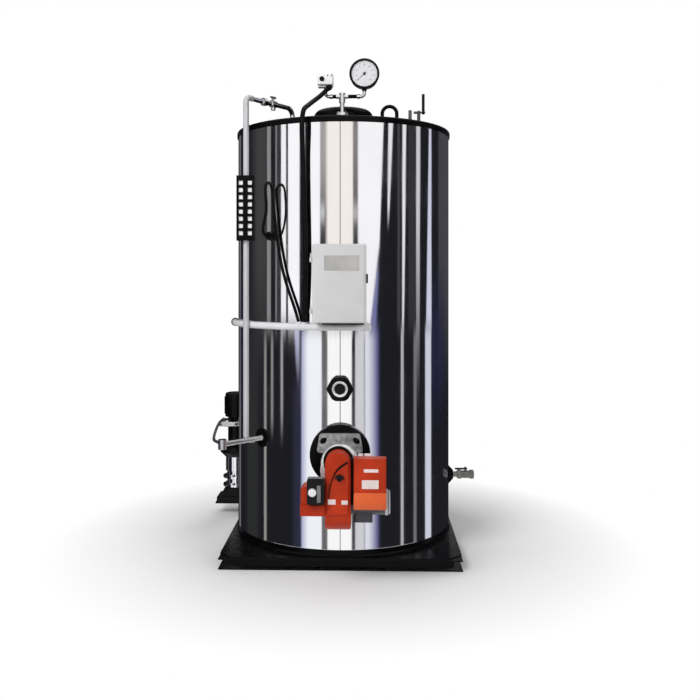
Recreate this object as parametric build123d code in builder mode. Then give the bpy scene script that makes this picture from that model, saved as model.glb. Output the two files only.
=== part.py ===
# Vertical steam boiler with burner, control box, level gauge and feed pump.
# Millimetres, +Z up, the front with the burner faces -Y.
# The origin is on the boiler's axis, on the floor.
import math
import os

from build123d import *

os.makedirs("parts", exist_ok=True)

# Shared clearances
seat_gap = 0.3
running_clearance = 0.05
overrun = 20
cord_run_share = 0.45

# Base frame
base_margin = 16
channel_height = 50
channel_flange = 42
channel_wall = 6
base_plate_thickness = 8
base_plate_chamfer = 60
base_ring_height = 29
base_ring_width = 40
base_ring_step = 2

# Jacket, top ring and hood
jacket_radius = 530
jacket_wall = 4
jacket_height = 1919
top_ring_height = 28
top_ring_overhang = 6
top_ring_width = 36
top_ring_round = 12
top_plate_thickness = 12
top_plate_recess = 8
hood_radius = 150
hood_height = 128
hood_neck_radius = 118
hood_neck_height = 22
hood_shoulder = 38
hood_lip = 14

# Lifting lugs
lug_angle = -59.6
lug_inset = 57.2
lug_bar_radius = 8.5
lug_span = 67
lug_height = 82

# Steam branch, header, gauge and pressure switch
header_setback = 225
branch_radius = 17
branch_height = 61
header_flange_radius = 32
header_flange_thickness = 12
header_nipple_radius = 11
header_nipple_length = 51
tee_radius = 15
tee_height = 46
arm_radius = 8
arm_bend = 17
arm_drop = 16
arm_collar_radius = 11
arm_collar_length = 14
arm_collar_setback = 3
gauge_x = 107
gauge_rise = 106
gauge_radius = 69
gauge_depth = 48
gauge_bezel_width = 3
gauge_bezel_depth = 10
gauge_dial_radius = 63
gauge_dial_recess = 6
gauge_socket_radius = 11
gauge_socket_length = 12
switch_x = -80
switch_rise = 41
switch_width = 75
switch_depth = 72
switch_height = 54
switch_round = 5
switch_foot_width = 70
switch_foot_depth = 40
switch_foot_thickness = 8
switch_forward = 10
switch_knob_radius = 11
switch_knob_depth = 10
switch_knob_offset = 16
switch_gland_radius = 13
switch_gland_length = 20

# Pressure switch cable: lead, bend over the ring, drop (angle, diameters out, share of height)
switch_cable_radius = 11
switch_gland_side = 14
switch_gland_forward = 21
switch_gland_drop = 7
switch_lead_shares = [
    (0.114, -0.038, 0.195),
    (0.279, -0.07, 0.406),
    (0.5, -0.072, 0.612),
    (0.757, -0.048, 0.817),
]
switch_ring_shares = [
    (252.6, -1.6, 2.36),
    (252.8, 0.57, 1.45),
    (253.0, 1.73, -0.1),
    (253.0, 2.06, -2.36),
    (252.9, 1.7, -4.95),
]
switch_drop_shares = [
    (252.9, 1.63, 0.8),
    (253.1, 1.46, 0.695),
    (253.4, 1.34, 0.555),
    (253.7, 1.35, 0.415),
    (253.9, 1.27, 0.285),
    (253.7, 1.2, 0.176),
    (253.3, 1.06, 0.084),
    (253.0, 0.855, 0),
]

# Level pipe, guard, crossover and cock
level_angle = 219.2
level_pipe_radius = 13.5
level_bottom = 545
level_rise = 125
level_bend = 24
level_tail = 45
guard_width = 83
guard_depth = 44
guard_forward = 29
guard_wall = 3
guard_drop = 527
guard_height = 303
guard_rows = 8
guard_hole = 20
guard_row_pitch = 33.5
guard_column_pitch = 42
crossover_radius = 12
crossover_x = -254
crossover_y = -68
crossover_bend = 40
union_along = 120
union_length = 24
union_radius = 20
cock_along = 200
cock_radius = 18
cock_length = 30
cock_stem_radius = 5
cock_stem_height = 34
cock_plug_radius = 11
cock_plug_drop = 30
handle_lift = 24
handle_hub_radius = 9
handle_hub_height = 12
handle_length = 44
handle_width = 10
handle_thickness = 6

# Probe gland and probe cable: narrow loop, then drop (angle, diameters out, share of height)
probe_angle = 234
probe_z = 1497
gland_radius = 19
gland_length = 34
gland_flats_radius = 24
gland_flats_length = 14
probe_cable_radius = 7
probe_loop_height = 240
probe_loop_shares = [
    (234.0, 3.67, 0),
    (234.3, 4.82, 0.033),
    (234.9, 5.72, 0.108),
    (235.8, 6.0, 0.23),
    (236.9, 5.81, 0.412),
    (237.0, 5.83, 0.596),
    (236.6, 5.86, 0.762),
    (236.3, 5.73, 0.92),
    (235.9, 4.38, 1),
    (235.3, 2.49, 1),
    (234.8, 1.14, 0.92),
]
probe_drop_shares = [
    (235.0, 1.09, 0.913),
    (235.6, 1.09, 0.844),
    (236.2, 1.07, 0.767),
    (237.0, 1.07, 0.679),
    (238.1, 1.09, 0.576),
    (239.7, 1.1, 0.457),
    (241.7, 1.16, 0.346),
    (244.0, 1.24, 0.246),
    (246.5, 1.33, 0.156),
    (248.7, 1.41, 0.071),
    (250.0, 1.37, 0),
]

# Cable trunking
trunking_radius = 15.5
trunking_z = 1085
trunking_start_angle = 186.5
trunking_arc = 97.9
bushing_radius = 13
bushing_height = 22
riser_x = 112
riser_width = 24
riser_depth = 32
riser_drop = 18

# Control box
box_width = 235
box_height = 345
box_bottom = 1108
box_depth = 100
box_wall = 2.5
box_corner = 12
box_standoff = 3
rail_x = 80
rail_width = 24
rail_inset = 32.5
door_gap = 5
door_thickness = 15
door_edge_round = 3
hinge_offset = 7
hinge_forward = 7
hinge_barrel_radius = 6
hinge_barrel_length = 19
hinge_barrel_gap = 0.5
hinge_pin_radius = 3
hinge_strap = 6
hinge_pad_length = 22
hinge_reach = 8
hinge_inset = 60
latch_width = 7
latch_depth = 11
latch_height = 40
latch_lift = 21.5
latch_round = 2

# Sight port
sight_z = 812
sight_neck_radius = 48
sight_neck_length = 18
sight_hex_radius = 62
sight_hex_depth = 24
sight_recess_radius = 30
sight_recess_depth = 8
sight_glass_thickness = 4

# Burner
burner_z = 519
mount_plate_radius = 135
mount_plate_reach = 32
flange_top_rise = 98
flange_top_width = 178
flange_low_rise = 12
flange_low_width = 208
flange_corner = 14
flange_thickness = 14
flange_slot_length = 34
flange_slot_width = 20
flange_slot_x = 73
flange_slot_rise = 66
flange_slot_tilt = 40
collar_drop = 29
collar_radius = 78
collar_length = 166
casing_width = 107
casing_depth = 93
casing_arch_rise = 65
casing_bottom_drop = 271
scroll_radius = 80
casing_round = 10
drum_corner = 20
rear_plate_radius = 64
rear_plate_thickness = 15
scroll_face_lift = 6
scroll_face_round = 2.5
scroll_top_rise = 25
scroll_turn_x = -8
scroll_turn_drop = 8
scroll_low_x = -30
scroll_low_drop = 72
scroll_end_drop = 140
peephole_x = 7
peephole_drop = 43
peephole_radius = 17
peephole_height = 5
peephole_bore = 11
peephole_bore_depth = 8
intake_width = 102
intake_height = 122
intake_depth = 90
intake_top_drop = 75
intake_round = 26
intake_ledge_height = 47
intake_ledge_depth = 8
intake_ledge_round = 5
servo_width = 72
servo_height = 106
servo_depth = 34
servo_round = 8
servo_rise = 39
servo_cap_radius = 17
servo_cap_depth = 6
servo_cap_x = -14
servo_cap_z = -3
motor_radius = 52
motor_length = 142
motor_setback = 20
motor_drop = 162
motor_cap_radius = 54
motor_cap_length = 21
motor_cap_round = 12
plinth_width = 90
plinth_height = 50
plinth_reach = 56
terminal_width = 78
terminal_depth = 74
terminal_drop = 78
terminal_round = 9
box_cover_gap = 12
cover_width = 134
cover_height = 208
cover_depth = 60
cover_top_rise = 43
cover_round = 7
cover_slope = 26

# Feed boss and feed pipe
feed_angle = 227
feed_z = 564
feed_boss_radius = 43
feed_boss_length = 12
feed_pipe_radius = 12
feed_pipe_reach = 238
feed_elbow_radius = 19
feed_elbow_height = 44
hose_nozzle_radius = 9.5

# Feed hose from the elbow to the pump's stool (shares of the way along, the bulge and the drop)
feed_hose_radius = 7
hose_start_forward = -15
hose_start_side = 26
hose_end_side = -23
hose_end_forward = -64
hose_end_rise = 158
feed_hose_shares = [
    (0.031, 0.012, 0.025),
    (0.091, 0.028, 0.15),
    (0.191, 0.042, 0.425),
    (0.328, 0.051, 0.725),
    (0.48, 0.056, 0.875),
    (0.643, 0.056, 0.85),
    (0.784, 0.052, 0.775),
    (0.876, 0.046, 0.775),
    (0.945, 0.029, 0.875),
]

# Pump and its shelf
pump_side = 89
pump_rear_inset = 82
shelf_thickness = 8
shelf_margin = 6
shelf_ring_gap = 35
foot_width = 188
foot_depth = 140
foot_thickness = 26
foot_top_radius = 52
foot_flare_height = 53
pump_flange_radius = 68
pump_flange_thickness = 12
pump_flange_gap = 34
pump_lower_radius = 46
pump_lower_height = 85
pump_column_radius = 54
pump_column_height = 79
pump_head_radius = 84
pump_head_height = 57
pump_head_taper = 26
stool_radius = 42
stool_height = 166
motor_body_radius = 57
motor_body_height = 132
motor_dome_round = 12
inlet_radius = 14
inlet_bore = 11
inlet_bore_length = 25
inlet_rise = 134
inlet_side = 25
inlet_forward = 92
inlet_reach = 74
inlet_bend = 24
inlet_tail = 56

# Drain boss, valve and lever
drain_z = 312
drain_boss_radius = 48
drain_boss_tip_radius = 22
drain_boss_length = 24
drain_collar_radius = 14
drain_collar_length = 20
drain_body_radius = 19
drain_body_length = 85
drain_bore = 12.5
drain_bore_length = 30
drain_stem_along = 43
drain_stem_radius = 5
drain_stem_height = 18
drain_lever_lift = 6
drain_lever_hub_radius = 10
drain_lever_length = 52
drain_lever_width = 16
drain_lever_thickness = 6

# Vent valve and vent stub
vent_angle = -36
vent_inset = 47.6
vent_nipple_radius = 8
vent_nipple_height = 57
vent_ball_radius = 10
vent_outlet_length = 24
vent_outlet_radius = 6
vent_spindle_radius = 4
vent_spindle_tail = 3
vent_lever_gap = 5
vent_lever_hub_radius = 9
vent_lever_thickness = 13
vent_lever_width = 13
vent_lever_length = 87
stub_spacing = 41
stub_radius = 8
stub_height = 79
stub_round = 5

# Heights and depths that follow from the sizes above
half_base = jacket_radius + base_margin
base_width = 2 * half_base
plate_top = channel_height + base_plate_thickness
jacket_bottom = plate_top + base_ring_height
jacket_top = jacket_bottom + jacket_height
ring_top = jacket_top + top_ring_height
ring_radius = jacket_radius + top_ring_overhang
roof_radius = ring_radius - top_ring_width
roof_top = ring_top - top_plate_recess
jacket_seat = jacket_radius + seat_gap
level_top = roof_top + level_rise
guard_bottom = jacket_top - guard_drop
bushing_top = trunking_z + bushing_height
pump_x = -jacket_radius - pump_side
pump_y = jacket_radius - pump_rear_inset


def keep(builder, name):
    """Label a finished piece and write its file."""
    builder.part.label = name
    export_step(builder.part, f"parts/{name}.step")


def radial_plane(angle, height):
    """A plane on the boiler's axis that faces outwards at the angle."""
    turn = math.radians(angle)
    outward = (math.cos(turn), math.sin(turn), 0)
    sideways = (-math.sin(turn), math.cos(turn), 0)
    return Plane(origin=(0, 0, height), x_dir=sideways, z_dir=outward)


def radial_point(angle, radius, height):
    """A point at the angle and distance from the boiler's axis."""
    turn = math.radians(angle)
    return (radius * math.cos(turn), radius * math.sin(turn), height)


def part_way(start, end, along, side, down):
    """A point at shares of the way between two places, of a bulge to the left and of the drop."""
    run_x = end[0] - start[0]
    run_y = end[1] - start[1]
    return (
        start[0] + along * run_x - side * run_y,
        start[1] + along * run_y + side * run_x,
        start[2] + down * (end[2] - start[2]),
    )


def cut_to_jacket():
    """Take the round of the jacket out of the part being built."""
    with Locations((0, 0, jacket_bottom)):
        Cylinder(
            jacket_seat,
            jacket_height,
            align=(Align.CENTER, Align.CENTER, Align.MIN),
            mode=Mode.SUBTRACT,
        )


def cord_radii(route):
    """The largest arc that the two runs at each corner of a route allow."""
    points = [Vector(*place) for place in route]
    runs = [b - a for a, b in zip(points, points[1:])]
    radii = []
    for before, after in zip(runs, runs[1:]):
        half_turn = math.radians(before.get_angle(after)) / 2
        radii.append(cord_run_share * min(before.length, after.length) / math.tan(half_turn))
    return radii


def cord_tube(route, radius):
    """A plain tube along a cord's route, of straight runs and tangent arcs."""
    radii = cord_radii(route)
    first_run = Vector(*route[1]) - Vector(*route[0])
    with BuildPart() as tube:
        with BuildLine():
            FilletPolyline(*route, radius=radii)
        with BuildSketch(Plane(origin=route[0], z_dir=first_run)):
            Circle(radius)
        sweep()
    return tube, radii


def cord_start_plane(route):
    """A plane across the start of a route that faces away from the cord."""
    return Plane(origin=route[0], z_dir=Vector(*route[0]) - Vector(*route[1]))


def cord_end_plane(route):
    """A plane across the end of a route that faces away from the cord."""
    return Plane(origin=route[-1], z_dir=Vector(*route[-1]) - Vector(*route[-2]))


# Base frame: channels with their flanges outwards, mitred at the corners
def channel_section(tip):
    """Draw a channel whose flange tips stand at the given place."""
    web = tip + channel_flange
    with BuildLine() as section:
        Polyline(
            (tip, 0),
            (web, 0),
            (web, channel_height),
            (tip, channel_height),
            (tip, channel_height - channel_wall),
            (web - channel_wall, channel_height - channel_wall),
            (web - channel_wall, channel_wall),
            (tip, channel_wall),
            close=True,
        )
    make_face(section.edges())


with BuildPart() as channel_run:
    with BuildSketch(Plane.YZ.offset(-half_base)):
        channel_section(-half_base)
    extrude(amount=base_width)
    split(bisect_by=Plane((0, 0, 0), z_dir=(1, 1, 0)), keep=Keep.BOTTOM)
    split(bisect_by=Plane((0, 0, 0), z_dir=(1, -1, 0)), keep=Keep.TOP)

for side, turn in (("front", 0), ("right", 90), ("rear", 180), ("left", 270)):
    with BuildPart() as base_channel:
        add(channel_run.part, rotation=(0, 0, turn))
    keep(base_channel, f"base_channel_{side}")

# Cross member between the side channels, under the boiler's weight
with BuildPart() as base_cross_member:
    with BuildSketch(Plane.YZ.offset(channel_flange - half_base)):
        channel_section(-channel_flange / 2)
    extrude(amount=base_width - 2 * channel_flange)
keep(base_cross_member, "base_cross_member")

# Base plate with its corners cut off
with BuildPart() as base_plate:
    with BuildSketch(Plane.XY.offset(channel_height)) as base_outline:
        Rectangle(base_width, base_width)
        chamfer(base_outline.vertices(), length=base_plate_chamfer)
    extrude(amount=base_plate_thickness)
keep(base_plate, "base_plate")

# Shelf on the base plate that carries the pump beside the jacket
shelf_outer_x = pump_x - foot_width / 2 - shelf_margin
shelf_front_y = pump_y - foot_depth / 2 - shelf_margin
ring_x = math.sqrt((jacket_radius - base_ring_step) ** 2 - shelf_front_y**2)
shelf_inner_x = -ring_x - shelf_ring_gap
with BuildPart() as pump_shelf:
    with BuildSketch(Plane.XY.offset(plate_top)):
        with Locations(((shelf_outer_x + shelf_inner_x) / 2, pump_y)):
            Rectangle(shelf_inner_x - shelf_outer_x, foot_depth + 2 * shelf_margin)
    extrude(amount=shelf_thickness)
keep(pump_shelf, "pump_shelf")

# Ring that the jacket stands on
with BuildPart() as base_ring:
    with BuildSketch(Plane.XY.offset(plate_top)):
        Circle(jacket_radius - base_ring_step)
        Circle(jacket_radius - base_ring_step - base_ring_width, mode=Mode.SUBTRACT)
    extrude(amount=base_ring_height)
keep(base_ring, "base_ring")

# Jacket: two half shells that meet in a seam at the front and the rear
for side, kept_half in (("left", Keep.BOTTOM), ("right", Keep.TOP)):
    with BuildPart() as jacket_half:
        with BuildSketch(Plane.XY.offset(jacket_bottom)):
            Circle(jacket_radius)
            Circle(jacket_radius - jacket_wall, mode=Mode.SUBTRACT)
        extrude(amount=jacket_height)
        split(bisect_by=Plane.YZ, keep=kept_half)
    keep(jacket_half, f"jacket_{side}")

# Rolled ring round the top of the jacket
with BuildPart() as top_ring:
    with BuildSketch(Plane.XZ) as ring_section:
        with Locations((roof_radius, jacket_top)):
            Rectangle(top_ring_width, top_ring_height, align=(Align.MIN, Align.MIN))
        outer_corners = ring_section.vertices().group_by(Axis.X)[-1]
        fillet(outer_corners.sort_by(Axis.Y)[-1], radius=top_ring_round)
    revolve(axis=Axis.Z)
keep(top_ring, "top_ring")

# Top plate inside the ring
with BuildPart() as top_plate:
    with BuildSketch(Plane.XY.offset(roof_top - top_plate_thickness)):
        Circle(roof_radius - seat_gap)
    extrude(amount=top_plate_thickness)
keep(top_plate, "top_plate")

# Flue hood: a pressed cap with a round shoulder on a short neck
with BuildPart() as flue_hood:
    with BuildSketch(Plane.XZ) as hood_section:
        with BuildLine():
            Polyline(
                (0, roof_top),
                (hood_neck_radius, roof_top),
                (hood_neck_radius, roof_top + hood_neck_height),
                (hood_radius, roof_top + hood_neck_height),
                (hood_radius, roof_top + hood_height),
                (0, roof_top + hood_height),
                close=True,
            )
        make_face()
        rim_corners = hood_section.vertices().group_by(Axis.X)[-1].sort_by(Axis.Y)
        fillet(rim_corners[-1], radius=hood_shoulder)
        rim_corners = hood_section.vertices().group_by(Axis.X)[-1].sort_by(Axis.Y)
        fillet(rim_corners[0], radius=hood_lip)
    revolve(axis=Axis.Z)
keep(flue_hood, "flue_hood")

# Lifting lugs: bent round bars on opposite sides of the top plate
half_span = lug_span / 2
lug_place = radial_point(lug_angle, roof_radius - lug_inset, roof_top)
lug_leg_top = roof_top + lug_height - lug_bar_radius - half_span
for side, way in (("front", 1), ("rear", -1)):
    bar_x = way * lug_place[0]
    bar_y = way * lug_place[1]
    with BuildPart() as lifting_lug:
        with BuildLine(Plane.XZ.offset(-bar_y)):
            Line((bar_x - half_span, roof_top), (bar_x - half_span, lug_leg_top))
            ThreePointArc(
                (bar_x - half_span, lug_leg_top),
                (bar_x, lug_leg_top + half_span),
                (bar_x + half_span, lug_leg_top),
            )
            Line((bar_x + half_span, lug_leg_top), (bar_x + half_span, roof_top))
        with BuildSketch(Plane.XY.offset(roof_top)):
            with Locations((bar_x - half_span, bar_y)):
                Circle(lug_bar_radius)
        sweep()
    keep(lifting_lug, f"lifting_lug_{side}")

# Steam branch under the header flange
branch_top = roof_top + branch_height
with BuildPart() as steam_branch:
    with BuildSketch(Plane.XY.offset(roof_top)):
        with Locations((0, -header_setback)):
            Circle(branch_radius)
    extrude(amount=branch_height)
keep(steam_branch, "steam_branch")

# Gauge header: flange, nipple and tee with two arms that turn up at their ends
nipple_bottom = branch_top + header_flange_thickness
tee_bottom = nipple_bottom + header_nipple_length
arm_z = tee_bottom + tee_height - arm_drop
gauge_z = arm_z + gauge_rise
gauge_socket_bottom = gauge_z - gauge_radius - gauge_socket_length
switch_foot_bottom = arm_z + switch_rise
tee_reach = tee_radius + arm_collar_length
with BuildPart() as gauge_header:
    with BuildLine(Plane.XZ.offset(header_setback)):
        FilletPolyline(
            (switch_x, switch_foot_bottom),
            (switch_x, arm_z),
            (gauge_x, arm_z),
            (gauge_x, gauge_socket_bottom),
            radius=arm_bend,
        )
    with BuildSketch(Plane.XY.offset(switch_foot_bottom)):
        with Locations((switch_x, -header_setback)):
            Circle(arm_radius)
    sweep()
    for level, radius, length in (
        (branch_top, header_flange_radius, header_flange_thickness),
        (nipple_bottom, header_nipple_radius, header_nipple_length),
        (tee_bottom, tee_radius, tee_height),
    ):
        with BuildSketch(Plane.XY.offset(level)):
            with Locations((0, -header_setback)):
                Circle(radius)
        extrude(amount=length)
    for collar_start, length in (
        (switch_x + arm_bend + arm_collar_setback, arm_collar_length),
        (-tee_reach, 2 * tee_reach),
        (gauge_x - arm_bend - arm_collar_setback - arm_collar_length, arm_collar_length),
    ):
        with BuildSketch(Plane.YZ.offset(collar_start)):
            with Locations((-header_setback, arm_z)):
                Circle(arm_collar_radius)
        extrude(amount=length)
keep(gauge_header, "gauge_header")

# Pressure gauge: round casing with a raised bezel, a sunk dial and a socket below
gauge_front = header_setback + gauge_depth / 2
with BuildPart() as pressure_gauge:
    with BuildSketch(Plane.XZ.offset(header_setback - gauge_depth / 2)):
        with Locations((gauge_x, gauge_z)):
            Circle(gauge_radius)
    extrude(amount=gauge_depth)
    with BuildSketch(Plane.XZ.offset(gauge_front - gauge_bezel_depth)):
        with Locations((gauge_x, gauge_z)):
            Circle(gauge_radius + gauge_bezel_width)
    extrude(amount=gauge_bezel_depth)
    with BuildSketch(Plane.XZ.offset(gauge_front)):
        with Locations((gauge_x, gauge_z)):
            Circle(gauge_dial_radius)
    extrude(amount=-gauge_dial_recess, mode=Mode.SUBTRACT)
    with BuildSketch(Plane.XY.offset(gauge_socket_bottom)):
        with Locations((gauge_x, -header_setback)):
            Circle(gauge_socket_radius)
    extrude(amount=gauge_radius)
keep(pressure_gauge, "pressure_gauge")

# Pressure switch: box on a foot, with a knob in front and a cable gland below
switch_y = -header_setback - switch_forward
switch_box_bottom = switch_foot_bottom + switch_foot_thickness
switch_front = -switch_y + switch_depth / 2
switch_cable_start = (
    switch_x + switch_gland_side,
    switch_y - switch_gland_forward,
    switch_foot_bottom - switch_gland_drop,
)
switch_cable_width = 2 * switch_cable_radius
switch_over_ring = [
    radial_point(angle, ring_radius + out * switch_cable_width, ring_top + up * switch_cable_width)
    for angle, out, up in switch_ring_shares
]
switch_drop = [
    radial_point(
        angle,
        jacket_radius + out * switch_cable_width,
        bushing_top + height * (ring_top - bushing_top),
    )
    for angle, out, height in switch_drop_shares
]
switch_lead = [
    part_way(switch_cable_start, switch_over_ring[0], along, side, down)
    for along, side, down in switch_lead_shares
]
switch_cable_route = [switch_cable_start, *switch_lead, *switch_over_ring, *switch_drop]
with BuildPart() as pressure_switch:
    with BuildSketch(Plane.XY.offset(switch_foot_bottom)):
        with Locations((switch_x, switch_y)):
            Rectangle(switch_foot_width, switch_foot_depth)
    extrude(amount=switch_foot_thickness)
    with BuildSketch(Plane.XY.offset(switch_box_bottom)):
        with Locations((switch_x, switch_y)):
            RectangleRounded(switch_width, switch_depth, switch_round)
    extrude(amount=switch_height)
    with BuildSketch(Plane.XZ.offset(switch_front)):
        with Locations((switch_x - switch_knob_offset, switch_box_bottom + switch_height / 2)):
            Circle(switch_knob_radius)
    extrude(amount=switch_knob_depth)
    with BuildSketch(cord_start_plane(switch_cable_route)):
        Circle(switch_gland_radius)
    extrude(amount=switch_gland_length)
keep(pressure_switch, "pressure_switch")

switch_cable, switch_cable_radii = cord_tube(switch_cable_route, switch_cable_radius)
keep(switch_cable, "switch_cable")

# Level pipe: from the lower tapping up outside the trunking, then over towards the top plate
level_radius = jacket_seat + 2 * trunking_radius + seat_gap + level_pipe_radius
level_foot = radial_point(level_angle, jacket_seat, level_bottom)
level_low = radial_point(level_angle, level_radius, level_bottom)
level_high = radial_point(level_angle, level_radius, level_top)
crossover_turn = (crossover_x, crossover_y, level_top)
crossover_way = (Vector(*crossover_turn) - Vector(*level_high)).normalized()
level_end = Vector(*level_high) + crossover_way * level_tail
with BuildPart() as level_pipe:
    with BuildLine():
        FilletPolyline(level_foot, level_low, level_high, level_end, radius=level_bend)
    with BuildSketch(radial_plane(level_angle, level_bottom).offset(jacket_seat)):
        Circle(level_pipe_radius)
    sweep()
keep(level_pipe, "level_pipe")

# Guard round the level pipe: a folded sheet with square holes, closed at both ends
guard_x = level_high[0]
guard_y = level_high[1]
guard_middle = guard_bottom + guard_height / 2
guard_front = guard_forward - guard_y
with BuildPart() as level_guard:
    with BuildSketch(Plane.XY.offset(guard_bottom)):
        with Locations((guard_x, -guard_front)):
            Rectangle(guard_width, guard_depth, align=(Align.CENTER, Align.MIN))
    extrude(amount=guard_height)
    with BuildSketch(Plane.XY.offset(guard_bottom + guard_wall)):
        with Locations((guard_x, guard_wall - guard_front)):
            Rectangle(
                guard_width - 2 * guard_wall,
                guard_depth + overrun,
                align=(Align.CENTER, Align.MIN),
            )
    extrude(amount=guard_height - 2 * guard_wall, mode=Mode.SUBTRACT)
    with BuildSketch(Plane.XZ.offset(guard_front)):
        with Locations((guard_x, guard_middle)):
            with GridLocations(guard_column_pitch, guard_row_pitch, 2, guard_rows):
                Rectangle(guard_hole, guard_hole)
    extrude(amount=-2 * guard_wall, mode=Mode.SUBTRACT)
    with BuildSketch(Plane.XY.offset(guard_bottom)):
        with Locations((guard_x, guard_y)):
            Circle(level_pipe_radius + seat_gap)
    extrude(amount=guard_height, mode=Mode.SUBTRACT)
    cut_to_jacket()
keep(level_guard, "level_guard")

# Crossover: from the level pipe's elbow to the top plate
crossover_foot = (crossover_x, crossover_y, roof_top)
with BuildPart() as level_crossover:
    with BuildLine():
        FilletPolyline(level_end, crossover_turn, crossover_foot, radius=crossover_bend)
    with BuildSketch(Plane(origin=level_end, z_dir=crossover_way)):
        Circle(crossover_radius)
    sweep()
keep(level_crossover, "level_crossover")

# Union nut and cock on the crossover
union_start = Vector(*level_high) + crossover_way * union_along
cock_start = Vector(*level_high) + crossover_way * (cock_along - cock_length / 2)
cock_centre = Vector(*level_high) + crossover_way * cock_along
with BuildPart() as level_cock:
    with BuildSketch(Plane(origin=union_start, z_dir=crossover_way)):
        RegularPolygon(union_radius, 6)
        Circle(crossover_radius + seat_gap, mode=Mode.SUBTRACT)
    extrude(amount=union_length)
    with BuildSketch(Plane(origin=cock_start, z_dir=crossover_way)):
        Circle(cock_radius)
    extrude(amount=cock_length)
    with BuildSketch(Plane(origin=cock_centre, z_dir=(0, 0, 1))):
        Circle(cock_stem_radius)
    extrude(amount=cock_stem_height)
    with BuildSketch(Plane(origin=cock_centre, z_dir=(0, 0, -1))):
        Circle(cock_plug_radius)
    extrude(amount=cock_plug_drop)
    with BuildSketch(Plane(origin=cock_start, z_dir=crossover_way)):
        Circle(crossover_radius + seat_gap)
    extrude(amount=cock_length, mode=Mode.SUBTRACT)
keep(level_cock, "level_cock")

# Cock handle: a bar on a hub that turns on the stem
with BuildPart() as level_cock_handle:
    handle_plane = Plane(origin=cock_centre, x_dir=crossover_way, z_dir=(0, 0, 1))
    with BuildSketch(handle_plane.offset(handle_lift)):
        Circle(handle_hub_radius)
    extrude(amount=handle_hub_height)
    with BuildSketch(handle_plane.offset(handle_lift + handle_hub_height - handle_thickness)):
        SlotCenterToCenter(handle_length - handle_width, handle_width)
    extrude(amount=handle_thickness)
    with BuildSketch(handle_plane.offset(handle_lift)):
        Circle(cock_stem_radius + running_clearance)
    extrude(amount=cock_stem_height - handle_lift + seat_gap, mode=Mode.SUBTRACT)
keep(level_cock_handle, "level_cock_handle")

# Probe gland on the jacket, and the probe's cable
gland_plane = radial_plane(probe_angle, probe_z)
gland_start = jacket_radius - overrun
with BuildPart() as probe_gland:
    with BuildSketch(gland_plane.offset(gland_start)):
        RegularPolygon(gland_flats_radius, 6)
    extrude(amount=overrun + gland_flats_length)
    with BuildSketch(gland_plane.offset(gland_start)):
        Circle(gland_radius)
    extrude(amount=overrun + gland_length)
    cut_to_jacket()
keep(probe_gland, "probe_gland")

probe_cable_width = 2 * probe_cable_radius
probe_loop_top = probe_z + probe_loop_height
probe_loop = [
    radial_point(angle, jacket_radius + out * probe_cable_width, probe_z + height * probe_loop_height)
    for angle, out, height in probe_loop_shares
]
probe_drop = [
    radial_point(
        angle,
        jacket_radius + out * probe_cable_width,
        bushing_top + height * (probe_loop_top - bushing_top),
    )
    for angle, out, height in probe_drop_shares
]
probe_cable_start = radial_point(probe_angle, jacket_radius + gland_length + seat_gap, probe_z)
probe_cable_route = [probe_cable_start, *probe_loop, *probe_drop]
probe_cable, probe_cable_radii = cord_tube(probe_cable_route, probe_cable_radius)
keep(probe_cable, "probe_cable")

# Cable trunking: a tube bent round the jacket, with two cable bushings and a riser to the box
trunking_bend = jacket_seat + trunking_radius
trunking_way = radial_point(trunking_start_angle, 1, 0)
riser_y = -math.sqrt(trunking_bend**2 - riser_x**2)
with BuildPart() as cable_trunking:
    trunking_plane = Plane(
        origin=(0, 0, trunking_z), x_dir=trunking_way, z_dir=(trunking_way[1], -trunking_way[0], 0)
    )
    with BuildSketch(trunking_plane):
        with Locations((trunking_bend, 0)):
            Circle(trunking_radius)
    revolve(axis=Axis.Z, revolution_arc=trunking_arc)
    for route in (switch_cable_route, probe_cable_route):
        with BuildSketch(cord_end_plane(route)):
            Circle(bushing_radius)
        extrude(amount=bushing_height)
    with BuildSketch(Plane.XY.offset(trunking_z - riser_drop)):
        with Locations((riser_x, riser_y)):
            Rectangle(riser_width, riser_depth)
    extrude(amount=box_bottom - trunking_z + riser_drop)
    cut_to_jacket()
keep(cable_trunking, "cable_trunking")

# Control box: an open folded tray
box_back = jacket_radius + box_standoff
box_front = box_back + box_depth
box_middle = box_bottom + box_height / 2
with BuildPart() as control_box_body:
    with BuildSketch(Plane.XZ.offset(box_back)):
        with Locations((0, box_middle)):
            RectangleRounded(box_width, box_height, box_corner)
    extrude(amount=box_depth)
    with BuildSketch(Plane.XZ.offset(box_back + box_wall)):
        with Locations((0, box_middle)):
            RectangleRounded(
                box_width - 2 * box_wall, box_height - 2 * box_wall, box_corner - box_wall
            )
    extrude(amount=box_depth, mode=Mode.SUBTRACT)
keep(control_box_body, "control_box_body")

# Two rails that hold the box on the round of the jacket
with BuildPart() as control_box_rails:
    with BuildSketch(Plane.XZ.offset(box_back)):
        with Locations((-rail_x, box_middle), (rail_x, box_middle)):
            Rectangle(rail_width, box_height - 2 * rail_inset)
    extrude(amount=-overrun)
    cut_to_jacket()
keep(control_box_rails, "control_box_rails")

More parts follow.
